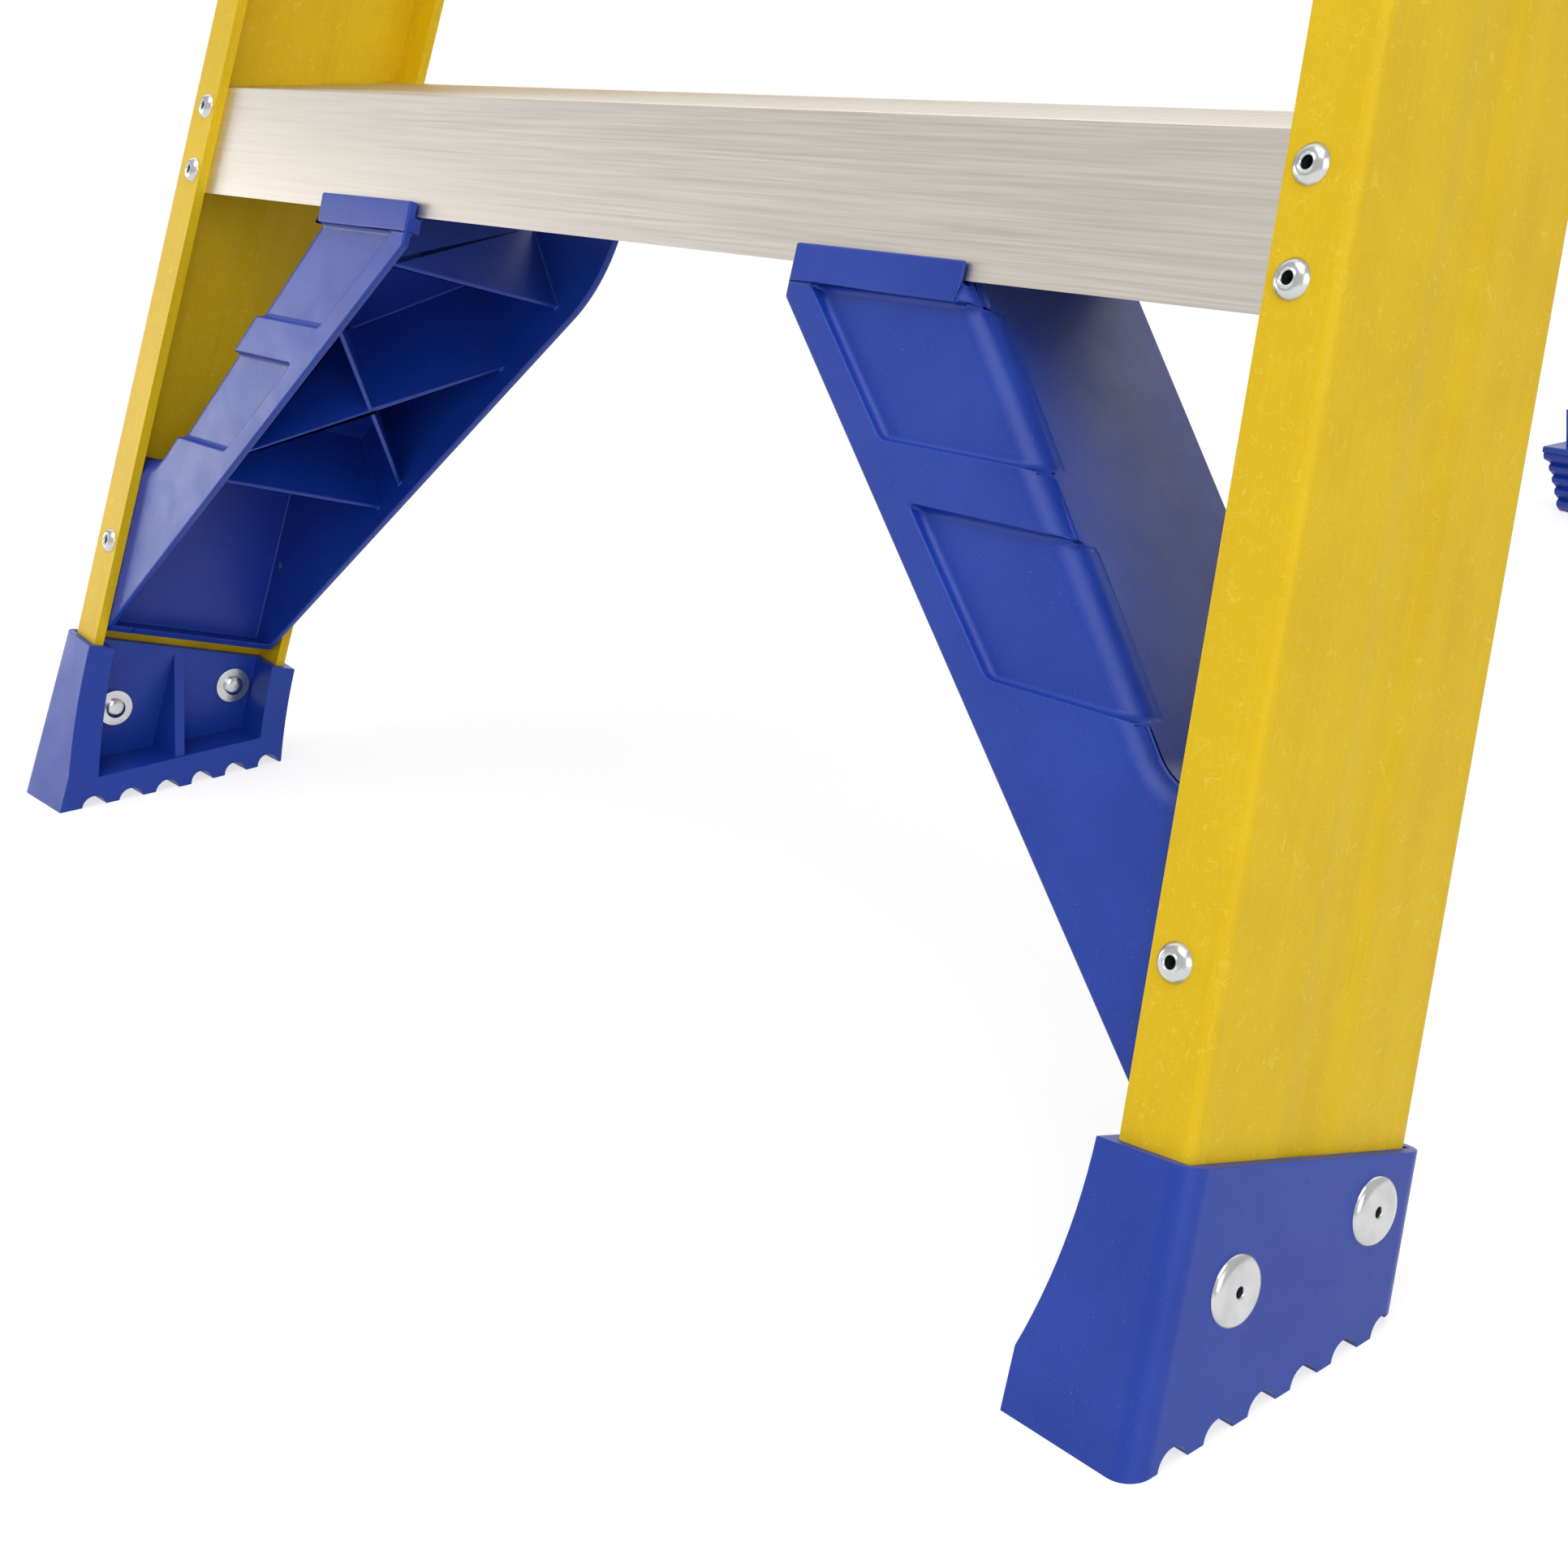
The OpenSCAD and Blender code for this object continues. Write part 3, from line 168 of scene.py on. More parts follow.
def tint(tree, amount, first, second):
    """Blends two colours, each a socket or a tuple, by an amount."""
    node = tree.nodes.new("ShaderNodeMix")
    node.data_type = "RGBA"
    tree.links.new(amount, node.inputs["Factor"])
    for name, value in (("A", first), ("B", second)):
        socket = next(s for s in node.inputs if s.name == name and s.type == "RGBA")
        if isinstance(value, tuple):
            socket.default_value = value + (1,)
        else:
            tree.links.new(value, socket)
    return next(s for s in node.outputs if s.type == "RGBA")


def choose(tree, when, otherwise, chosen):
    """One shader where a value is 0, and another where it is 1."""
    node = tree.nodes.new("ShaderNodeMixShader")
    for socket, source in zip(node.inputs, (when, otherwise, chosen)):
        tree.links.new(source, socket)
    return node.outputs[0]


def surface(tree, colour, roughness, height=None, depth=0.0, **fixed):
    """The shader at the end: colour, roughness and bump come in, the rest is fixed."""
    shader = add(tree, "ShaderNodeBsdfPrincipled", **fixed)
    if isinstance(colour, tuple):
        shader.inputs["Base Color"].default_value = colour + (1,)
    else:
        tree.links.new(colour, shader.inputs["Base Color"])
    if isinstance(roughness, (int, float)):
        shader.inputs["Roughness"].default_value = roughness
    else:
        tree.links.new(roughness, shader.inputs["Roughness"])
    if height is not None:
        bump = add(tree, "ShaderNodeBump", Distance=depth, Strength=1.0)
        tree.links.new(height, bump.inputs["Height"])
        tree.links.new(bump.outputs["Normal"], shader.inputs["Normal"])
    tree.links.new(shader.outputs[0], tree.nodes["Material Output"].inputs["Surface"])
    return shader


print("node helpers ready")

# %% [markdown]
# The studio is a white sweep with soft light from all round, and a plain world fills the
# shadows. The camera sees that world as pure white. Gloss sees a studio with more in it: a
# grey that darkens towards the left, and a large bright patch high up at the back left. These
# draw the light and dark bands in the metal and the sheen on the mouldings. Three lamps give
# the forms a light and a darker side.

# %% Light
scene = bpy.context.scene
scene.view_settings.view_transform = "Standard"
WORLD_FILL, WORLD_SEEN = 0.72, 1.0
# Where the left side begins to darken and is darkest, as the X of a ray, and the two levels
LEFT_BEGINS, LEFT_ENDS = -0.62, -0.92
GLOSS_LEVEL, LEFT_LEVEL = 0.72, 0.52
# Where the patch begins and is full, as Y plus Z less X of a ray, and its level
PATCH_BEGINS, PATCH_FULL, PATCH_LEVEL = 1.05, 1.35, 1.4
LADDER_MIDDLE = (0, -0.2, 0.5)
# Name, place, the point it faces, size and watts
LAMPS = (
    ("lamp_top", (0.4, -1.6, 3.0), LADDER_MIDDLE, (2.4, 2.4), 34),
    ("lamp_right", (2.8, -1.5, 1.3), LADDER_MIDDLE, (1.8, 2.0), 22),
    ("lamp_left", (-2.7, -1.45, 0.3), (-0.2, -0.5, 0.25), (1.0, 0.7), 10),
)


def softbox(name, place, aim, size, watts):
    """A rectangular lamp at a place, turned to face a point."""
    data = bpy.data.lights.new(name, "AREA")
    data.shape = "RECTANGLE"
    data.size, data.size_y = size
    data.energy = watts
    lamp = bpy.data.objects.new(name, data)
    bpy.context.collection.objects.link(lamp)
    lamp.location = place
    lamp.rotation_euler = (Vector(aim) - Vector(place)).to_track_quat("-Z", "Y").to_euler()


for lamp_row in LAMPS:
    softbox(*lamp_row)

world = bpy.data.worlds.new("studio")
scene.world = world
world.use_nodes = True
sky = world.node_tree
sky.nodes.clear()


def backdrop(strength):
    """A plain white background of a strength, a number or a socket."""
    node = add(sky, "ShaderNodeBackground", Color=grey(1.0))
    if isinstance(strength, float):
        node.inputs["Strength"].default_value = strength
    else:
        sky.links.new(strength, node.inputs["Strength"])
    return node.outputs[0]


heading = sky.nodes.new("ShaderNodeTexCoord")
parts = sky.nodes.new("ShaderNodeSeparateXYZ")
sky.links.new(heading.outputs["Generated"], parts.inputs[0])
left_side = ramp(sky, parts.outputs["X"], LEFT_BEGINS, LEFT_ENDS, GLOSS_LEVEL, LEFT_LEVEL)
back_and_up = combine(sky, "ADD", parts.outputs["Y"], parts.outputs["Z"])
and_left = combine(sky, "SUBTRACT", back_and_up, parts.outputs["X"])
patch = ramp(sky, and_left, PATCH_BEGINS, PATCH_FULL, 0.0, PATCH_LEVEL)
gloss_sees = backdrop(combine(sky, "MAXIMUM", left_side, patch))
sky_rays = sky.nodes.new("ShaderNodeLightPath")
sky_light = choose(sky, sky_rays.outputs["Is Glossy Ray"], backdrop(WORLD_FILL), gloss_sees)
sky_light = choose(sky, sky_rays.outputs["Is Camera Ray"], sky_light, backdrop(WORLD_SEEN))
sky_out = sky.nodes.new("ShaderNodeOutputWorld")
sky.links.new(sky_light, sky_out.inputs["Surface"])

# %% [markdown]
# The floor is one large pale sheet. To the camera and to gloss it is mostly its own white and
# a little lit, so it looks white and still takes the soft shadow of the ladder. All other rays
# meet a plain light grey floor, which sends a natural amount of light back up.

# %% Floor
FLOOR_SIZE = 60.0
FLOOR_OWN_WHITE = 0.71
FLOOR_LIT = 0.41
FLOOR_PLAIN = 0.60
bpy.ops.object.select_all(action="DESELECT")
bpy.ops.mesh.primitive_plane_add(size=FLOOR_SIZE, location=(0, 0, 0))
floor = bpy.context.object
floor.name = "floor"

floor_white, tree = new_material("floor_white")
plain = add(tree, "ShaderNodeBsdfDiffuse", Color=grey(FLOOR_PLAIN))
lit = add(tree, "ShaderNodeBsdfDiffuse", Color=grey(FLOOR_LIT))
own = add(tree, "ShaderNodeEmission", Color=grey(1), Strength=FLOOR_OWN_WHITE)
white = tree.nodes.new("ShaderNodeAddShader")
tree.links.new(lit.outputs[0], white.inputs[0])
tree.links.new(own.outputs[0], white.inputs[1])
rays = tree.nodes.new("ShaderNodeLightPath")
sees_white = combine(tree, "MAXIMUM", rays.outputs["Is Camera Ray"], rays.outputs["Is Glossy Ray"])
floor_seen = choose(tree, sees_white, plain.outputs[0], white.outputs[0])
tree.links.new(floor_seen, tree.nodes["Material Output"].inputs["Surface"])
floor.data.materials.append(floor_white)
print("floor:", FLOOR_SIZE, "m")

# %% [markdown]
# A fibreglass rail is pulled through a die, so it has fine lines along its length. Under a thin
# clear skin lies a mat of glass hairs that curl every way and look a little paler. Noise that
# is stretched one way gives the lines. A hair is where a warped noise crosses its middle value,
# which draws thin curls, and a second noise breaks them up.

# %% Fibreglass
FRONT_LEAN = math.radians(16.45)
FRONT_TAPER = math.radians(5.1)
REAR_LEAN = math.radians(13.254)
REAR_TAPER = math.radians(1.2)
HAIR_SCALES = (160, 230, 310)
HAIR_WIDTH, HAIR_STRENGTH = 0.019, 0.34
STREAK_SCALE, BROAD_SCALE, CLOUD_SCALE = 1500, 110, 30
ALONG_THE_RAIL = (1, 1, 1 / 40)
SKIN_BUMP = 0.00003


def hairs(tree, scale, seed):
    """Thin curls, as of glass hairs in a mat: 1 on a hair and 0 beside it."""
    shifted = add(tree, "ShaderNodeMapping", Location=(seed, seed * 0.7, seed * 1.3))
    tree.links.new(place_along(tree), shifted.inputs["Vector"])
    here = shifted.outputs["Vector"]
    swirl = add(tree, "ShaderNodeTexNoise", Scale=scale, Detail=1.0, Distortion=0.6)
    tree.links.new(here, swirl.inputs["Vector"])
    away = combine(tree, "ABSOLUTE", combine(tree, "SUBTRACT", swirl.outputs["Fac"], 0.5), 0.0)
    line = ramp(tree, away, 0.0, HAIR_WIDTH, 1.0, 0.0)
    gate = ramp(tree, noise(tree, here, scale * 0.9, 2), 0.50, 0.62)
    return combine(tree, "MULTIPLY", line, gate)


def fibreglass(name, deep, pale, glass, lean, taper):
    """Pulled fibreglass: fine lines along the rail, with paler hairs under the skin."""
    material, tree = new_material(name)
    along = place_along(tree, (lean, taper, 0), ALONG_THE_RAIL)
    streaks = noise(tree, along, STREAK_SCALE, 3, 0.6)
    broad = noise(tree, along, BROAD_SCALE, 2)
    cloud = noise(tree, place_along(tree), CLOUD_SCALE, 4, 0.6)
    shade = ramp(tree, broad, *NOISE_SPAN, 0.32, 0.62)
    shade = combine(tree, "ADD", shade, ramp(tree, streaks, *NOISE_SPAN, -0.15, 0.15))
    shade = combine(tree, "ADD", shade, ramp(tree, cloud, *NOISE_SPAN, -0.24, 0.24))
    colour = tint(tree, shade, deep, pale)
    mat = None
    for seed, scale in enumerate(HAIR_SCALES):
        layer = hairs(tree, scale, seed + 1.0)
        mat = layer if mat is None else combine(tree, "MAXIMUM", mat, layer)
    colour = tint(tree, combine(tree, "MULTIPLY", mat, HAIR_STRENGTH), colour, glass)
    rough = ramp(tree, streaks, *NOISE_SPAN, 0.44, 0.54)
    height = combine(tree, "ADD", streaks, combine(tree, "MULTIPLY", mat, 0.4))
    surface(tree, colour, rough, height, SKIN_BUMP, IOR=1.5, Specular_IOR_Level=0.28)
    return material


YELLOW = ((0.69, 0.435, 0.001), (0.80, 0.545, 0.003), (0.91, 0.72, 0.11))
ORANGE = ((0.80, 0.19, 0.10), (0.93, 0.27, 0.17), (0.98, 0.50, 0.36))
finishes = {}
for side, sign in (("left", -1), ("right", 1)):
    finishes["front_rail_" + side] = fibreglass(
        "yellow_fibreglass_" + side, *YELLOW, FRONT_LEAN, sign * FRONT_TAPER
    )
    finishes["rear_rail_" + side] = fibreglass(
        "orange_fibreglass_" + side, *ORANGE, -REAR_LEAN, sign * REAR_TAPER
    )
print("fibreglass:", sorted(finishes))

# %% [markdown]
# The braces, boots and cap are moulded in blue plastic with a fine, even grain from the steel
# of the mould. A slightly cloudy colour and a few tiny pale specks keep it from looking painted.
# The grain is only bump, far finer than a millimetre, so the sheen breaks up softly.

# %% Blue moulding
BLUE_DEEP = (0.004, 0.034, 0.315)
BLUE_PALE = (0.008, 0.047, 0.375)
SPECK = (0.22, 0.27, 0.52)


def moulded_plastic(name, roughness):
    """Blue plastic with mould grain, a cloudy colour and a few tiny pale specks."""
    material, tree = new_material(name)
    here = place_along(tree)
    cloud = ramp(tree, noise(tree, here, 30, 5, 0.6), *NOISE_SPAN)
    colour = tint(tree, cloud, BLUE_DEEP, BLUE_PALE)
    specks = ramp(tree, noise(tree, here, 3200, 0), 0.80, 0.84)
    colour = tint(tree, combine(tree, "MULTIPLY", specks, 0.5), colour, SPECK)
    grain = noise(tree, here, 2400, 3, 0.6)
    rough = ramp(tree, noise(tree, here, 70, 4), *NOISE_SPAN, roughness - 0.04, roughness + 0.04)
    surface(tree, colour, rough, grain, 0.00006, IOR=1.5, Specular_IOR_Level=0.40)
    return material


blue_moulding = moulded_plastic("blue_moulding", 0.36)
blue_foot = moulded_plastic("blue_foot", 0.38)
print("blue mouldings ready")

# %% [markdown]
# The treads are extruded aluminium, so the die leaves fine lines across the ladder. The cross
# bars and gussets are rolled sheet. The links, brackets and pins are zinc plated, and the
# rivets are bright. The eye where a rivet's shank is hollow gets a near black finish, which is
# painted shade for the deep hole.

# %% Metals
LINES_SHARE = 0.75
ACROSS, ACROSS_SHEET = (1 / 90, 1, 1), (1 / 60, 1, 1)


def drawn_metal(name, dark, light, stretch, roughness, depth):
    """Metal with fine lines along one direction."""
    material, tree = new_material(name)
    along = place_along(tree, (0, 0, 0), stretch)
    lines = noise(tree, along, 1400, 4, 0.6)
    broad = noise(tree, along, 520, 3)
    shade = ramp(tree, lines, *NOISE_SPAN, 0, LINES_SHARE)
    shade = combine(tree, "ADD", shade, ramp(tree, broad, *NOISE_SPAN, 0, 1 - LINES_SHARE))
    colour = tint(tree, shade, dark, light)
    rough = ramp(tree, lines, *NOISE_SPAN, roughness, roughness + 0.14)
    surface(tree, colour, rough, lines, depth, Metallic=1.0)
    return material


def plated_metal(name, dark, light, roughness):
    """Plated steel: almost even, with a faint cloudiness."""
    material, tree = new_material(name)
    here = place_along(tree)
    cloud = ramp(tree, noise(tree, here, 120, 4), *NOISE_SPAN)
    colour = tint(tree, cloud, dark, light)
    rough = ramp(tree, noise(tree, here, 300, 3), *NOISE_SPAN, roughness, roughness + 0.1)
    surface(tree, colour, rough, noise(tree, here, 900, 3), 0.00003, Metallic=1.0)
    return material


extruded = drawn_metal(
    "extruded_aluminium", (0.65, 0.60, 0.53), (0.76, 0.71, 0.65), ACROSS, 0.34, 0.00002
)
sheet = drawn_metal(
    "sheet_aluminium", (0.60, 0.60, 0.60), (0.76, 0.76, 0.76), ACROSS_SHEET, 0.32, 0.00002
)
zinc = plated_metal("zinc_plate", (0.50, 0.50, 0.50), (0.66, 0.66, 0.65), 0.30)
bright = plated_metal("bright_plate", (0.52, 0.53, 0.53), (0.66, 0.67, 0.67), 0.18)
# Near black with a little blue-green: painted shade for the inside of a hollow rivet shank
eye_painted_shade, tree = new_material("eye_painted_shade")
surface(tree, (0.012, 0.030, 0.036), 0.5, noise(tree, place_along(tree), 900, 2), 0.00002)
nylon, tree = new_material("nylon")
surface(tree, (0.72, 0.72, 0.68), 0.45, noise(tree, place_along(tree), 1200, 2), 0.00003)
print("metals ready")

# %% [markdown]
# Each solid part gets the finish of what it is made of. The names of the parts say enough to
# choose, so a short table of beginnings does it.

# %% Give the parts their finish
BY_NAME = (
    ("step_rivets", bright), ("step_", extruded), ("brace_rivets", bright),
    ("brace_", blue_moulding), ("front_foot_rivets", bright), ("front_foot_washers", bright),
    ("front_foot_", blue_foot), ("rear_foot_rivets", bright), ("rear_foot_washers", bright),
    ("rear_foot_", blue_foot), ("top_cap", blue_moulding), ("cap_rivets", bright),
    ("hinge_pin", bright), ("hinge_washers", zinc), ("hinge_bushes", nylon),
    ("spreader_bracket", zinc), ("bracket_rivets", bright), ("front_pivot", bright),
    ("rear_pivot", bright), ("front_link", zinc), ("rear_link", zinc),
    ("elbow_rivet", bright), ("rear_bar_rivets", bright), ("rear_bar", sheet),
    ("gusset_rivets", bright), ("gusset", sheet), ("rear_spacers", zinc),
)
for name, part in frame["nodes"].items():
    finish = finishes.get(name)
    if finish is None:
        finish = next(f for start, f in BY_NAME if name.startswith(start))
    for slot in part.material_slots:
        slot.material = finish
print("finished parts:", len(frame["nodes"]))

# %% [markdown]
# A moulding has no sharp edges, because the mould is cut with round tools. The boots and the
# cap are copies of the solid parts: each copy is welded, its flat faces are joined, and a small
# bevel rounds every edge that turns by more than a soft angle.


def hand_over(piece, name, body):
    """The piece stands in for a solid part, which is hidden, and moves with its body."""
    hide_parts(name)
    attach(piece, body)
    print(piece.name, len(piece.data.polygons), "faces")


def only(piece):
    """Selects one piece alone and makes it active."""
    bpy.ops.object.select_all(action="DESELECT")
    bpy.context.view_layer.objects.active = piece
    piece.select_set(True)


def welded_copy(source, name):
    """A copy of a solid part with its loose triangles joined into clean faces."""
    piece = bpy.data.objects.new(name, source.data.copy())
    bpy.context.collection.objects.link(piece)
    only(piece)
    bpy.ops.object.mode_set(mode="EDIT")
    bpy.ops.mesh.select_all(action="SELECT")
    bpy.ops.mesh.customdata_custom_splitnormals_clear()
    bpy.ops.mesh.remove_doubles(threshold=0.00001)
    bpy.ops.mesh.dissolve_limited(angle_limit=math.radians(0.5))
    bpy.ops.object.mode_set(mode="OBJECT")
    return piece


def soften(piece, width, segments=3, sharp=32, clamp=True):
    """Rounds the sharp edges of a piece and shades it smooth between them."""
    only(piece)
    bevel = piece.modifiers.new("edges", "BEVEL")
    bevel.width = width
    bevel.segments = segments
    bevel.limit_method = "ANGLE"
    bevel.angle_limit = math.radians(sharp)
    bevel.use_clamp_overlap = clamp
    bpy.ops.object.modifier_apply(modifier=bevel.name)
    bpy.ops.object.shade_smooth_by_angle(angle=math.radians(40))
    flat = piece.modifiers.new("flat faces stay flat", "WEIGHTED_NORMAL")
    flat.keep_sharp = True
    bpy.ops.object.modifier_apply(modifier=flat.name)


for name, body, width in (
    ("front_foot_left", "front_frame", 0.0012),
    ("front_foot_right", "front_frame", 0.0012),
    ("rear_foot_left", "rear_frame", 0.001),
    ("rear_foot_right", "rear_frame", 0.001),
    ("top_cap", "front_frame", 0.0015),
):
    soft = welded_copy(frame["nodes"][name], "soft_" + name)
    soften(soft, width)
    hand_over(soft, name, body)

# %% [markdown]
# The rails are held by tubular rivets: a bright domed head with a rolled ring and a dark eye
# where the shank is hollow, its darkness painted shade. The boots have wider, flatter heads with
# a small eye. One head is a short profile spun round its axis, and the faces inside its eye take
# the near black finish of painted shade. The solid rivets say where each head sits and which way
# it points, and a copy of the head goes there. The shanks of the solid parts are hidden in the
# rails, so only a tail's end is added.

# %% Rivets
HEAD_PROFILE = (
    (0.0, -0.9), (0.14, -0.92), (0.27, -0.80), (0.30, 0.35), (0.315, 0.72), (0.35, 0.92),
    (0.40, 0.98), (0.455, 0.90), (0.50, 0.82), (0.56, 0.83), (0.64, 0.79), (0.74, 0.68),
    (0.84, 0.51), (0.92, 0.32), (0.975, 0.12), (1.0, 0.02), (0.98, -0.02), (0.30, -0.02),
)
WIDE_PROFILE = (
    (0.0, -0.9), (0.15, -0.9), (0.155, 0.62), (0.175, 0.80), (0.21, 0.86), (0.25, 0.78),
    (0.29, 0.80), (0.45, 0.97), (0.60, 1.0), (0.74, 0.94), (0.86, 0.78), (0.94, 0.52),
    (0.985, 0.22), (1.0, 0.02), (0.98, -0.02), (0.155, -0.02),
)
TAIL_PROFILE = ((0.0, 0.0), (0.62, 0.0), (0.62, 0.55), (0.50, 0.85), (0.25, 1.0), (0.0, 0.9))
TAIL_SHARE, TAIL_HEIGHT, TAIL_STANDS_OUT = 0.75, 0.0022, 0.0021
SPIN_STEPS = 40


def spun(name, profile, radius, height):
    """A profile spun round Z. Radii are shares of a radius, heights shares of a height."""
    mesh = bpy.data.meshes.new(name)
    points = [(r * radius, 0, h * height) for r, h in profile]
    mesh.from_pydata(points, [(k, k + 1) for k in range(len(points) - 1)], [])
    piece = bpy.data.objects.new(name, mesh)
    bpy.context.collection.objects.link(piece)
    only(piece)
    bpy.ops.object.mode_set(mode="EDIT")
    bpy.ops.mesh.select_all(action="SELECT")
    bpy.ops.mesh.spin(
        steps=SPIN_STEPS, angle=math.tau, center=(0, 0, 0), axis=(0, 0, 1), use_auto_merge=True
    )
    bpy.ops.mesh.select_all(action="SELECT")
    bpy.ops.mesh.remove_doubles(threshold=0.000005)
    bpy.ops.mesh.normals_make_consistent(inside=False)
    bpy.ops.object.mode_set(mode="OBJECT")
    bpy.ops.object.shade_smooth_by_angle(angle=math.radians(50))
    # Faces inside the eye take the second finish, the painted shade of the hollow shank
    eye = profile[-1][0] * radius * 1.01
    for face in piece.data.polygons:
        corners = [piece.data.vertices[i].co for i in face.vertices]
        inside = all(math.hypot(corner.x, corner.y) < eye for corner in corners)
        face.material_index = 1 if inside and profile[1][1] < 0 else 0
    return piece


def shanks(source):
    """The loose solids of a part, each as its list of points."""
    work = bmesh.new()
    work.from_mesh(source.data)
    bmesh.ops.remove_doubles(work, verts=work.verts, dist=0.000005)
    left_over = set(work.verts)
    while left_over:
        reached = [left_over.pop()]
        for point in reached:
            for edge in point.link_edges:
                other = edge.other_vert(point)
                if other in left_over:
                    left_over.remove(other)
                    reached.append(other)
        yield [point.co.copy() for point in reached]
    work.free()


def new_rivets(name, body, axis_of, profile, finish):
    """Turned heads and tails in place of the solid rivets of a part."""
    source = frame["nodes"][name]
    pieces = []
    for points in shanks(source):
        middle = sum(points, Vector()) / len(points)
        axis = axis_of(middle)
        along = [(point - middle).dot(axis) for point in points]
        away = [((point - middle) - axis * t).length for point, t in zip(points, along)]
        radius = max(away)
        rim = [t for t, r in zip(along, away) if r > 0.97 * radius]
        if abs(max(along) - max(rim)) > abs(min(along) - min(rim)):
            axis = -axis
            along = [-t for t in along]
            rim = [-t for t in rim]
        seat, top, tail = min(rim), max(along), min(along)
        turn = axis.to_track_quat("Z", "Y").to_matrix().to_4x4()
        head = spun("head", profile, radius, top - seat)
        head.data.transform(Matrix.Translation(middle + axis * seat) @ turn)
        end = spun("tail", TAIL_PROFILE, radius * TAIL_SHARE, TAIL_HEIGHT)
        back = Matrix.Rotation(math.pi, 4, "X")
        foot = middle + axis * (tail + TAIL_STANDS_OUT)
        end.data.transform(Matrix.Translation(foot) @ turn @ back)
        pieces += [head, end]
    only(pieces[0])
    for piece in pieces:
        piece.data.materials.append(finish)
        # The second slot holds the painted shade of the eye
        piece.data.materials.append(eye_painted_shade)
        piece.select_set(True)
    bpy.ops.object.join()
    joined = bpy.context.object
    joined.name = "turned_" + name
    hand_over(joined, name, body)


def facing_front(middle):
    """The way the front edges of the rails look, the same at every point."""
    return Vector((0, -math.cos(FRONT_LEAN), math.sin(FRONT_LEAN)))


def facing_out(middle):
    """The way a front rail's web looks, on the side of a point."""
    side = 1 if middle.x > 0 else -1
    return Vector((
        side * math.cos(FRONT_TAPER), math.sin(FRONT_TAPER) * math.sin(FRONT_LEAN),
        math.sin(FRONT_TAPER) * math.cos(FRONT_LEAN),
    ))


for name in ("step_rivets_left", "step_rivets_right", "brace_rivets"):
    new_rivets(name, "front_frame", facing_front, HEAD_PROFILE, bright)
new_rivets("front_foot_rivets", "front_frame", facing_out, WIDE_PROFILE, bright)

# %% [markdown]
# A knee brace holds the rail to the lowest tread. It is a thin-walled tray on its side: a front
# wall with two sunk panels, a rear wall that sweeps up behind, a skin towards the rail, ribs
# inside, and a hook that the tread's apron drops into. It is drawn as flat outlines in the
# plane of the front frame, each made a slab, and Boolean modifiers add and cut the slabs, as
# a mould maker would mill the two halves.

# %% Outlines of a brace
# All in millimetres, across and up the front frame
MM = 0.001
BASE_SPREAD, BOOT_WALL, TOE_FLARE = 1092, 3.4, 3.0
FRONT_Y = -0.5 * BASE_SPREAD + (BOOT_WALL + TOE_FLARE) / math.cos(FRONT_LEAN)
RAIL_WALL, STEP_WALL, FIT, WALL = 4.0, 2.2, 0.3, 3.0
RAIL_HALF, RAIL_DEPTH, WEB_INSET = 312.5, 90.5, 5.2
STEP_UP, APRON_HEIGHT = 304.8, 42.6
APRON_FOOT = STEP_UP - APRON_HEIGHT
FOOT, LEDGE, LEDGE_BEND, EDGE_ROUND = 76.0, 151.0, 20.0, 7.0
PANEL_DEPTH, PANEL_BORDER, PANEL_FILLET = 3.2, 9.6, 2.2
ARM_REACH, EDGE_DROP, TOP_RISE = 185.0, 10.6, 12.0
FOOT_WIDTH, LEDGE_WIDTH, SKIN_REACH, REAR_SHIFT = 18.3, 29.2, 118.6, 4.2
REAR_SWEEP, SWEEP_DROP, SWEEP_STEP = 60.0, 20.5, math.radians(3)


def rail_x(v):
    """Outside of the rail at a height up the front frame."""
    return RAIL_HALF - v * math.tan(FRONT_TAPER)


def web_x(v):
    """Where the brace meets the inside of the rail."""
    return rail_x(v) - WEB_INSET / math.cos(FRONT_TAPER)


TIP_X = rail_x(APRON_FOOT) - ARM_REACH
EDGE_V = APRON_FOOT - EDGE_DROP
TOP_V = APRON_FOOT + TOP_RISE
BACK = RAIL_DEPTH - RAIL_WALL - STEP_WALL - FIT
FOOT_X = rail_x(FOOT) - FOOT_WIDTH
SLOPE = math.atan2(EDGE_V - FOOT, FOOT_X - TIP_X)
REAR_SLOPE = math.atan2(EDGE_V - FOOT, FOOT_X - TIP_X + REAR_SHIFT)
ARM = math.hypot(EDGE_V - FOOT, FOOT_X - TIP_X)
SKIN_FOOT_X = rail_x(LEDGE) - LEDGE_WIDTH
SKIN = math.atan2(APRON_FOOT - LEDGE, SKIN_FOOT_X - rail_x(APRON_FOOT) + SKIN_REACH)
SLANT = math.atan(RAIL_WALL / (FOOT_X - TIP_X))


def edge_x(v, slope):
    """The open edge of a wall."""
    return FOOT_X - (v - FOOT) / math.tan(slope)


def skin_x(v, inset=0.0):
    """The skin, moved in by an inset."""
    return SKIN_FOOT_X - (v - LEDGE) / math.tan(SKIN) - inset / math.sin(SKIN)


def rail_side(foot, top, inset):
    """Web, ledge and skin, from the foot to the top, with the bend between the last two."""
    high = LEDGE - inset
    bend = LEDGE_BEND + inset
    run = bend * math.tan(SKIN / 2)
    corner_x = skin_x(high, inset)
    centre = (corner_x + run, high + bend)
    steps = 8
    arc = []
    for k in range(steps + 1):
        turn = -math.pi / 2 - SKIN * k / steps
        arc.append((centre[0] + bend * math.cos(turn), centre[1] + bend * math.sin(turn)))
    web = [(web_x(foot) - inset, foot), (web_x(high) - inset, high)]
    return web + arc + [(skin_x(top, inset), top)]


def front_outline():
    """The front wall, with a straight open edge from the tip to the foot."""
    return [(TIP_X, TOP_V), (TIP_X, EDGE_V), (FOOT_X, FOOT)] + rail_side(FOOT, TOP_V, 0)


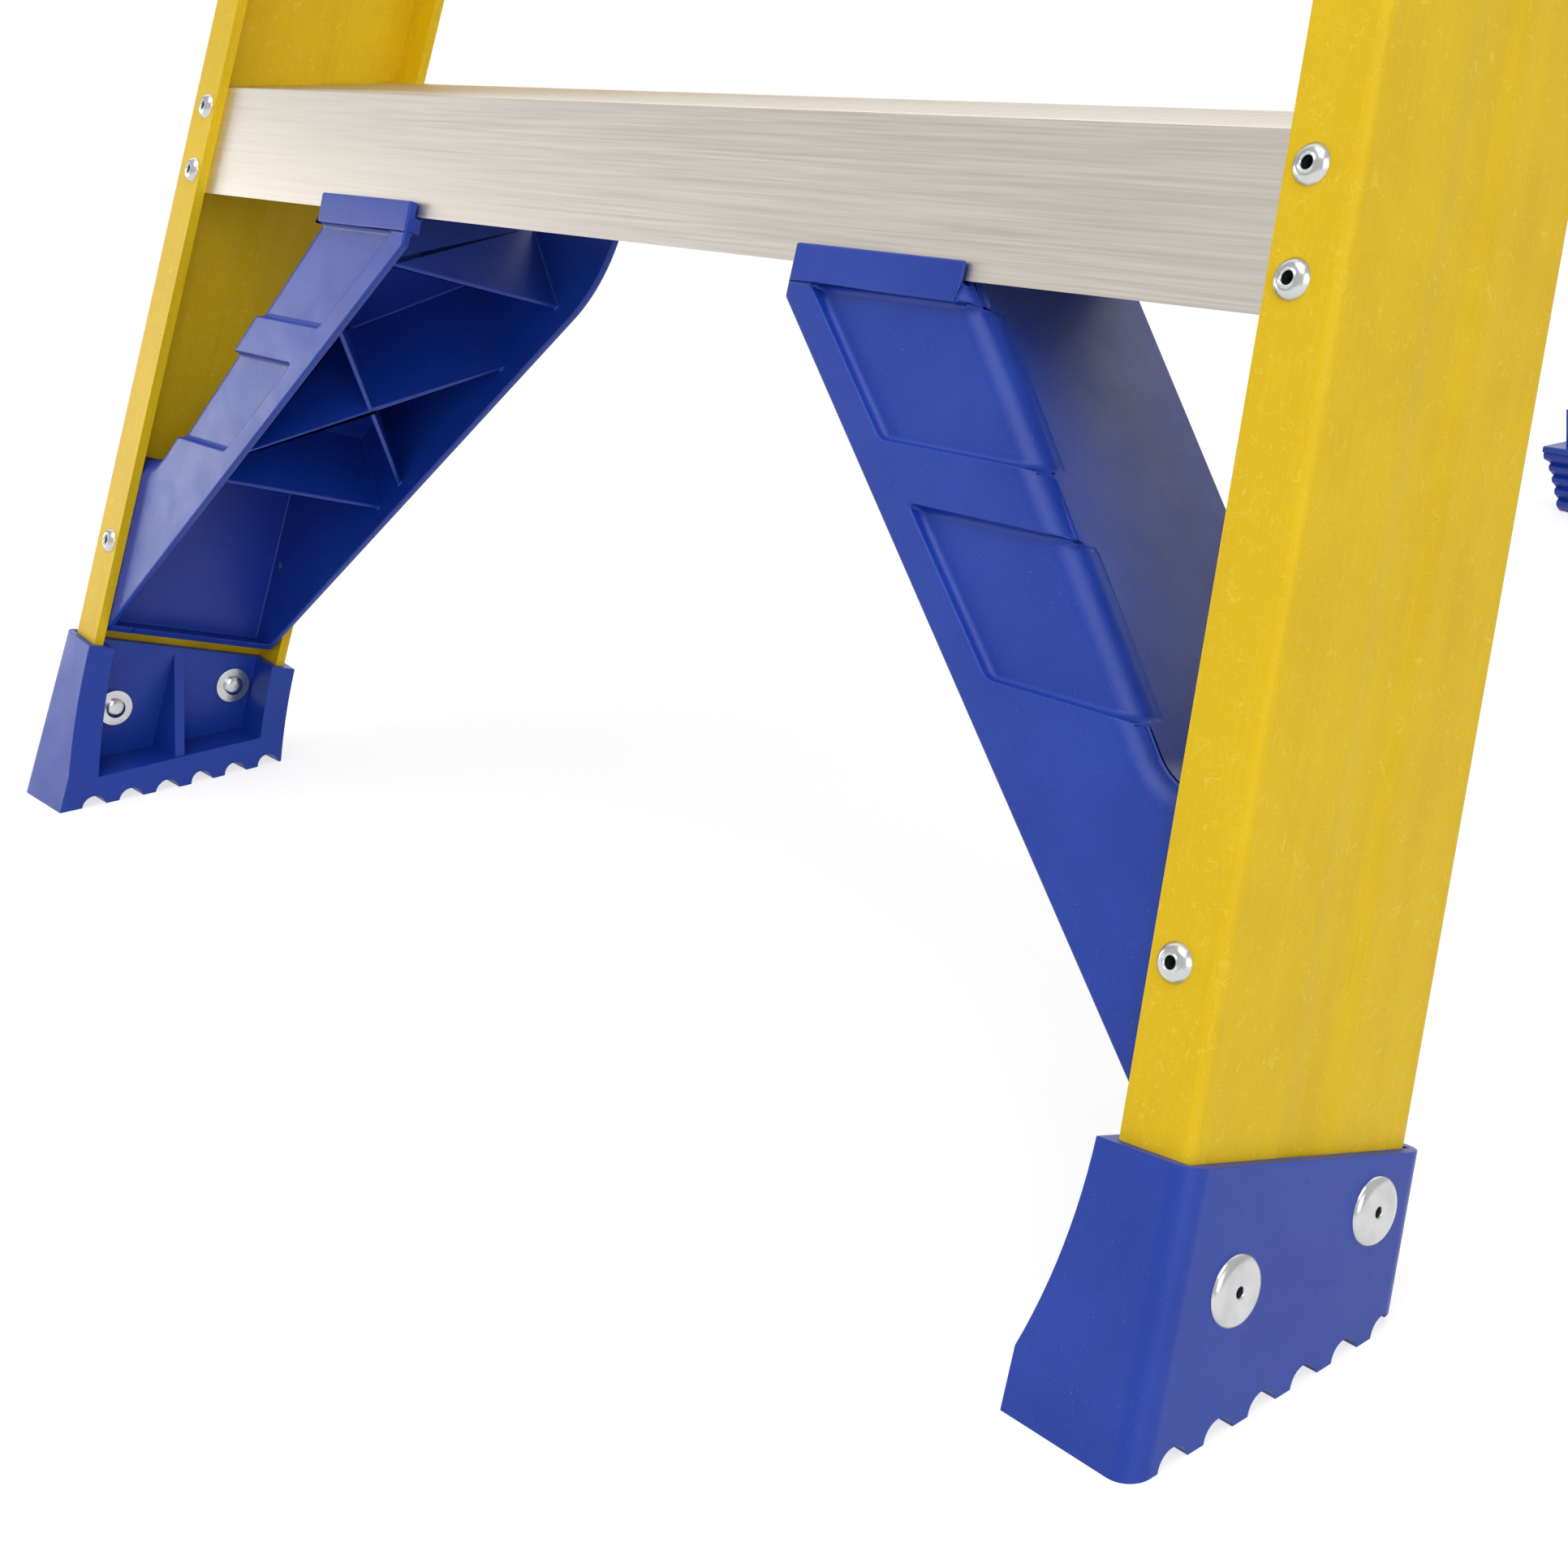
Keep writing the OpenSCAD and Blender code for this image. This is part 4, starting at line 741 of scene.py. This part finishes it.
def rear_outline():
    """The rear wall's open edge turns up to the tread in a wide sweep."""
    start = APRON_FOOT - SWEEP_DROP
    centre_x = edge_x(start, REAR_SLOPE) + REAR_SWEEP * math.sin(REAR_SLOPE)
    centre_v = start + REAR_SWEEP * math.cos(REAR_SLOPE)
    arc = []
    while True:
        turn = math.pi + (math.pi / 2 - REAR_SLOPE) - SWEEP_STEP * len(arc)
        x = centre_x + REAR_SWEEP * math.cos(turn)
        v = centre_v + REAR_SWEEP * math.sin(turn)
        if v >= TOP_V:
            break
        arc.append((x, v))
    arc.append((x, TOP_V))
    return list(reversed(arc)) + [(FOOT_X, FOOT)] + rail_side(FOOT, TOP_V, 0)


def inside_outline(inset, top):
    """The room inside the walls, open towards the middle of the ladder."""
    low = FOOT + inset
    return [(TIP_X - 90, top), (TIP_X - 90, low)] + rail_side(low, top, inset)


print("brace from", round(TIP_X, 1), "to", round(rail_x(FOOT), 1), "mm")

# %% [markdown]
# A slab is made as by hand: a flat polygon is added, its corners are put on the outline, and
# it is extruded through its depth. Every slab is drawn in millimetres in the front frame and
# the finished brace is turned and scaled into place at the end.

# %% Slabs and Booleans


def slab(name, outline, near, far_side):
    """A flat outline, drawn across and up, made solid between two depths."""
    bpy.ops.object.select_all(action="DESELECT")
    bpy.ops.mesh.primitive_circle_add(vertices=len(outline), fill_type="NGON", radius=1)
    piece = bpy.context.object
    piece.name = name
    for corner, (x, v) in zip(piece.data.vertices, outline):
        corner.co = (x, near, v)
    bpy.ops.object.mode_set(mode="EDIT")
    bpy.ops.mesh.select_all(action="SELECT")
    bpy.ops.mesh.extrude_region_move(
        TRANSFORM_OT_translate={"value": (0, far_side - near, 0)}
    )
    bpy.ops.mesh.select_all(action="SELECT")
    bpy.ops.mesh.normals_make_consistent(inside=False)
    bpy.ops.object.mode_set(mode="OBJECT")
    return piece


def block(name, low, high):
    """A box between two corners."""
    outline = [(low[0], low[2]), (high[0], low[2]), (high[0], high[2]), (low[0], high[2])]
    return slab(name, outline, low[1], high[1])


def turned(piece, matrix):
    """Moves the points of a piece by a matrix."""
    piece.data.transform(matrix)
    return piece


def boolean(piece, other, operation):
    """Adds, cuts or keeps a piece with another, which is used up."""
    only(piece)
    modifier = piece.modifiers.new("shape", "BOOLEAN")
    modifier.operation = operation
    modifier.solver = "EXACT"
    modifier.object = other
    bpy.ops.object.modifier_apply(modifier=modifier.name)
    bpy.data.objects.remove(other)
    return piece


# The front wall's own frame: Y is the depth behind its outer face
WALL_FRAME = Matrix.Translation((TIP_X, FIT, 0)) @ Matrix.Rotation(SLANT, 4, "Z")
# The ribs' frame: X runs down the open edge, from the tip to the foot
ARM_FRAME = Matrix.Translation((TIP_X, 0, EDGE_V)) @ Matrix.Rotation(SLOPE, 4, "Y")


def in_wall(outline):
    """An outline in the frame of the front wall."""
    return [(x - TIP_X, v) for x, v in outline]


def edge_rounded(piece, near, radius):
    """Rounds the front edge of a slab along the skin, the bend and the ledge."""
    corners = {(round(x - TIP_X, 3), round(v, 3)) for x, v in rail_side(FOOT, TOP_V, 0)[1:]}

    def on_edge(point):
        return abs(point.y - near) < 0.01 and (round(point.x, 3), round(point.z, 3)) in corners

    only(piece)
    mesh = piece.data
    bpy.ops.object.mode_set(mode="EDIT")
    bpy.ops.mesh.select_mode(type="EDGE")
    bpy.ops.mesh.select_all(action="DESELECT")
    bpy.ops.object.mode_set(mode="OBJECT")
    for edge in mesh.edges:
        edge.select = all(on_edge(mesh.vertices[i].co) for i in edge.vertices)
    bpy.ops.object.mode_set(mode="EDIT")
    bpy.ops.mesh.bevel(offset=radius, segments=6, affect="EDGES", clamp_overlap=False)
    bpy.ops.object.mode_set(mode="OBJECT")
    return piece


print("slab helpers ready")

# %% [markdown]
# A brace is two slabs, hollowed and ribbed. The room for the ribs stops halfway into the walls,
# so that no rib comes out through a wall. The panels are sunk by one more Boolean. The cutter
# is the panel's outline less the front part moved back by the depth of the panel, so the floor
# of the panel follows the rounded edge of the brace where it runs out over the skin. The
# cutter's own edges are bevelled first, and that leaves the soft fillet round the floor.

# %% The braces
PANEL_TOP = APRON_FOOT - 5.7
PANEL_GAP, PANEL_FOOT_BORDER = 15.1, 12.8
PANEL_HEIGHT = (PANEL_TOP - LEDGE - PANEL_FOOT_BORDER - PANEL_GAP) / 2
PANELS = [(top, top - PANEL_HEIGHT) for top in (PANEL_TOP, PANEL_TOP - PANEL_HEIGHT - PANEL_GAP)]
APRON_BACK = RAIL_WALL + STEP_WALL + FIT
SPLIT = RAIL_WALL + 2 * WALL
# Places along the open edge, as shares of its length, and the half width of a rib
RIB_PLACES, CROSS_PLACE, CROSS_TURN = (0.063, 0.595), 0.37, math.radians(47)
RIB_HALF, RIB_FROM, RIB_TO = 1, 6, 185
HOOK_WIDTH, HOOK_LAP = 65.6, 0.35
PAST_SKIN, FAR = 44.0, 900


def front_part(name, near, back):
    """The front wall between two depths, with its outer edge rounded."""
    return edge_rounded(slab(name, in_wall(front_outline()), near, back), near, EDGE_ROUND)


def panel_slab(name, panel, grow, near, back):
    """A panel between two depths, grown by some room and run out past the skin."""
    border = (PANEL_BORDER - grow) / math.sin(SLOPE)
    top, foot = panel[0] + grow, panel[1] - grow
    outline = [
        (edge_x(top, SLOPE) + border - TIP_X, top), (edge_x(foot, SLOPE) + border - TIP_X, foot),
        (skin_x(foot) + PAST_SKIN - TIP_X, foot), (skin_x(top) + PAST_SKIN - TIP_X, top),
    ]
    return slab(name, outline, near, back)


def brace_mesh():
    """One right-hand brace, in millimetres in the front frame."""
    brace = turned(front_part("brace", 0, SPLIT + 2), WALL_FRAME)
    boolean(brace, slab("rear", rear_outline(), SPLIT - 1, BACK), "UNION")
    hollow = slab("hollow", inside_outline(WALL, TOP_V + 90), -90, BACK - WALL)
    stop = block("stop", (-FAR, -FAR, -FAR), (FAR, WALL, FAR))
    boolean(hollow, turned(stop, WALL_FRAME), "DIFFERENCE")
    for panel in PANELS:
        behind = panel_slab("behind", panel, WALL, -1, PANEL_DEPTH + WALL)
        boolean(hollow, turned(behind, WALL_FRAME), "DIFFERENCE")
    boolean(brace, hollow, "DIFFERENCE")
    room = slab("room", inside_outline(WALL / 2, TOP_V), 0.4, BACK - WALL / 2)
    ahead = block("ahead", (-FAR, -FAR, -FAR), (FAR, WALL / 2, FAR))
    boolean(room, turned(ahead, WALL_FRAME), "DIFFERENCE")
    middle = (BACK + RAIL_WALL) / 2
    ribs = []
    for place in RIB_PLACES:
        low = (place * ARM - RIB_HALF, 0, RIB_FROM)
        ribs.append(block("rib", low, (place * ARM + RIB_HALF, RAIL_DEPTH, RIB_TO)))
    for turn in (-CROSS_TURN, CROSS_TURN):
        rib = block("rib", (-RAIL_DEPTH, -RIB_HALF, RIB_FROM), (RAIL_DEPTH, RIB_HALF, RIB_TO))
        centre = Matrix.Translation((CROSS_PLACE * ARM, middle, 0))
        ribs.append(turned(rib, centre @ Matrix.Rotation(math.pi / 2 + turn, 4, "Z")))
    for rib in ribs:
        turned(rib, ARM_FRAME)
        keep = room.copy()
        keep.data = room.data.copy()
        bpy.context.collection.objects.link(keep)
        boolean(rib, keep, "INTERSECT")
        boolean(brace, rib, "UNION")
    bpy.data.objects.remove(room)
    for panel in PANELS:
        cutter = panel_slab("cutter", panel, 0, -9, PANEL_DEPTH + EDGE_ROUND + 4)
        floor_part = front_part("floor_part", PANEL_DEPTH, 60)
        boolean(cutter, floor_part, "DIFFERENCE")
        soften(cutter, PANEL_FILLET, 4, 32)
        boolean(brace, turned(cutter, WALL_FRAME), "DIFFERENCE")
    gap = block("gap", (-FAR, -FAR, APRON_FOOT - FIT), (FAR, APRON_BACK, FAR))
    boolean(brace, gap, "DIFFERENCE")
    hook_high = (HOOK_WIDTH, RAIL_WALL + STEP_WALL, APRON_FOOT + 5)
    hook = turned(block("hook", (0, 0, PANEL_TOP - HOOK_LAP), hook_high), WALL_FRAME)
    slot_low = (-FAR, RAIL_WALL - FIT, APRON_FOOT - FIT)
    slot = block("slot", slot_low, (FAR, RAIL_WALL + STEP_WALL + FIT, FAR))
    boolean(hook, slot, "DIFFERENCE")
    return boolean(brace, hook, "UNION")


brace_right = brace_mesh()
only(brace_right)
bpy.ops.object.mode_set(mode="EDIT")
bpy.ops.mesh.select_all(action="SELECT")
bpy.ops.mesh.remove_doubles(threshold=0.02)
bpy.ops.mesh.dissolve_limited(angle_limit=math.radians(0.5))
bpy.ops.mesh.normals_make_consistent(inside=False)
bpy.ops.object.mode_set(mode="OBJECT")
IN_PLACE = (
    Matrix.Translation((0, FRONT_Y * MM, 0))
    @ Matrix.Rotation(-FRONT_LEAN, 4, "X")
    @ Matrix.Scale(MM, 4)
)
turned(brace_right, IN_PLACE)
brace_left = bpy.data.objects.new("soft_brace_left", brace_right.data.copy())
bpy.context.collection.objects.link(brace_left)
turned(brace_left, Matrix.Scale(-1, 4, (1, 0, 0)))
brace_left.data.flip_normals()
brace_right.name = "soft_brace_right"
for side, brace in (("right", brace_right), ("left", brace_left)):
    soften(brace, 0.8 * MM, 2, 34, clamp=False)
    brace.data.materials.clear()
    brace.data.materials.append(blue_moulding)
    hand_over(brace, "brace_" + side, "front_frame")
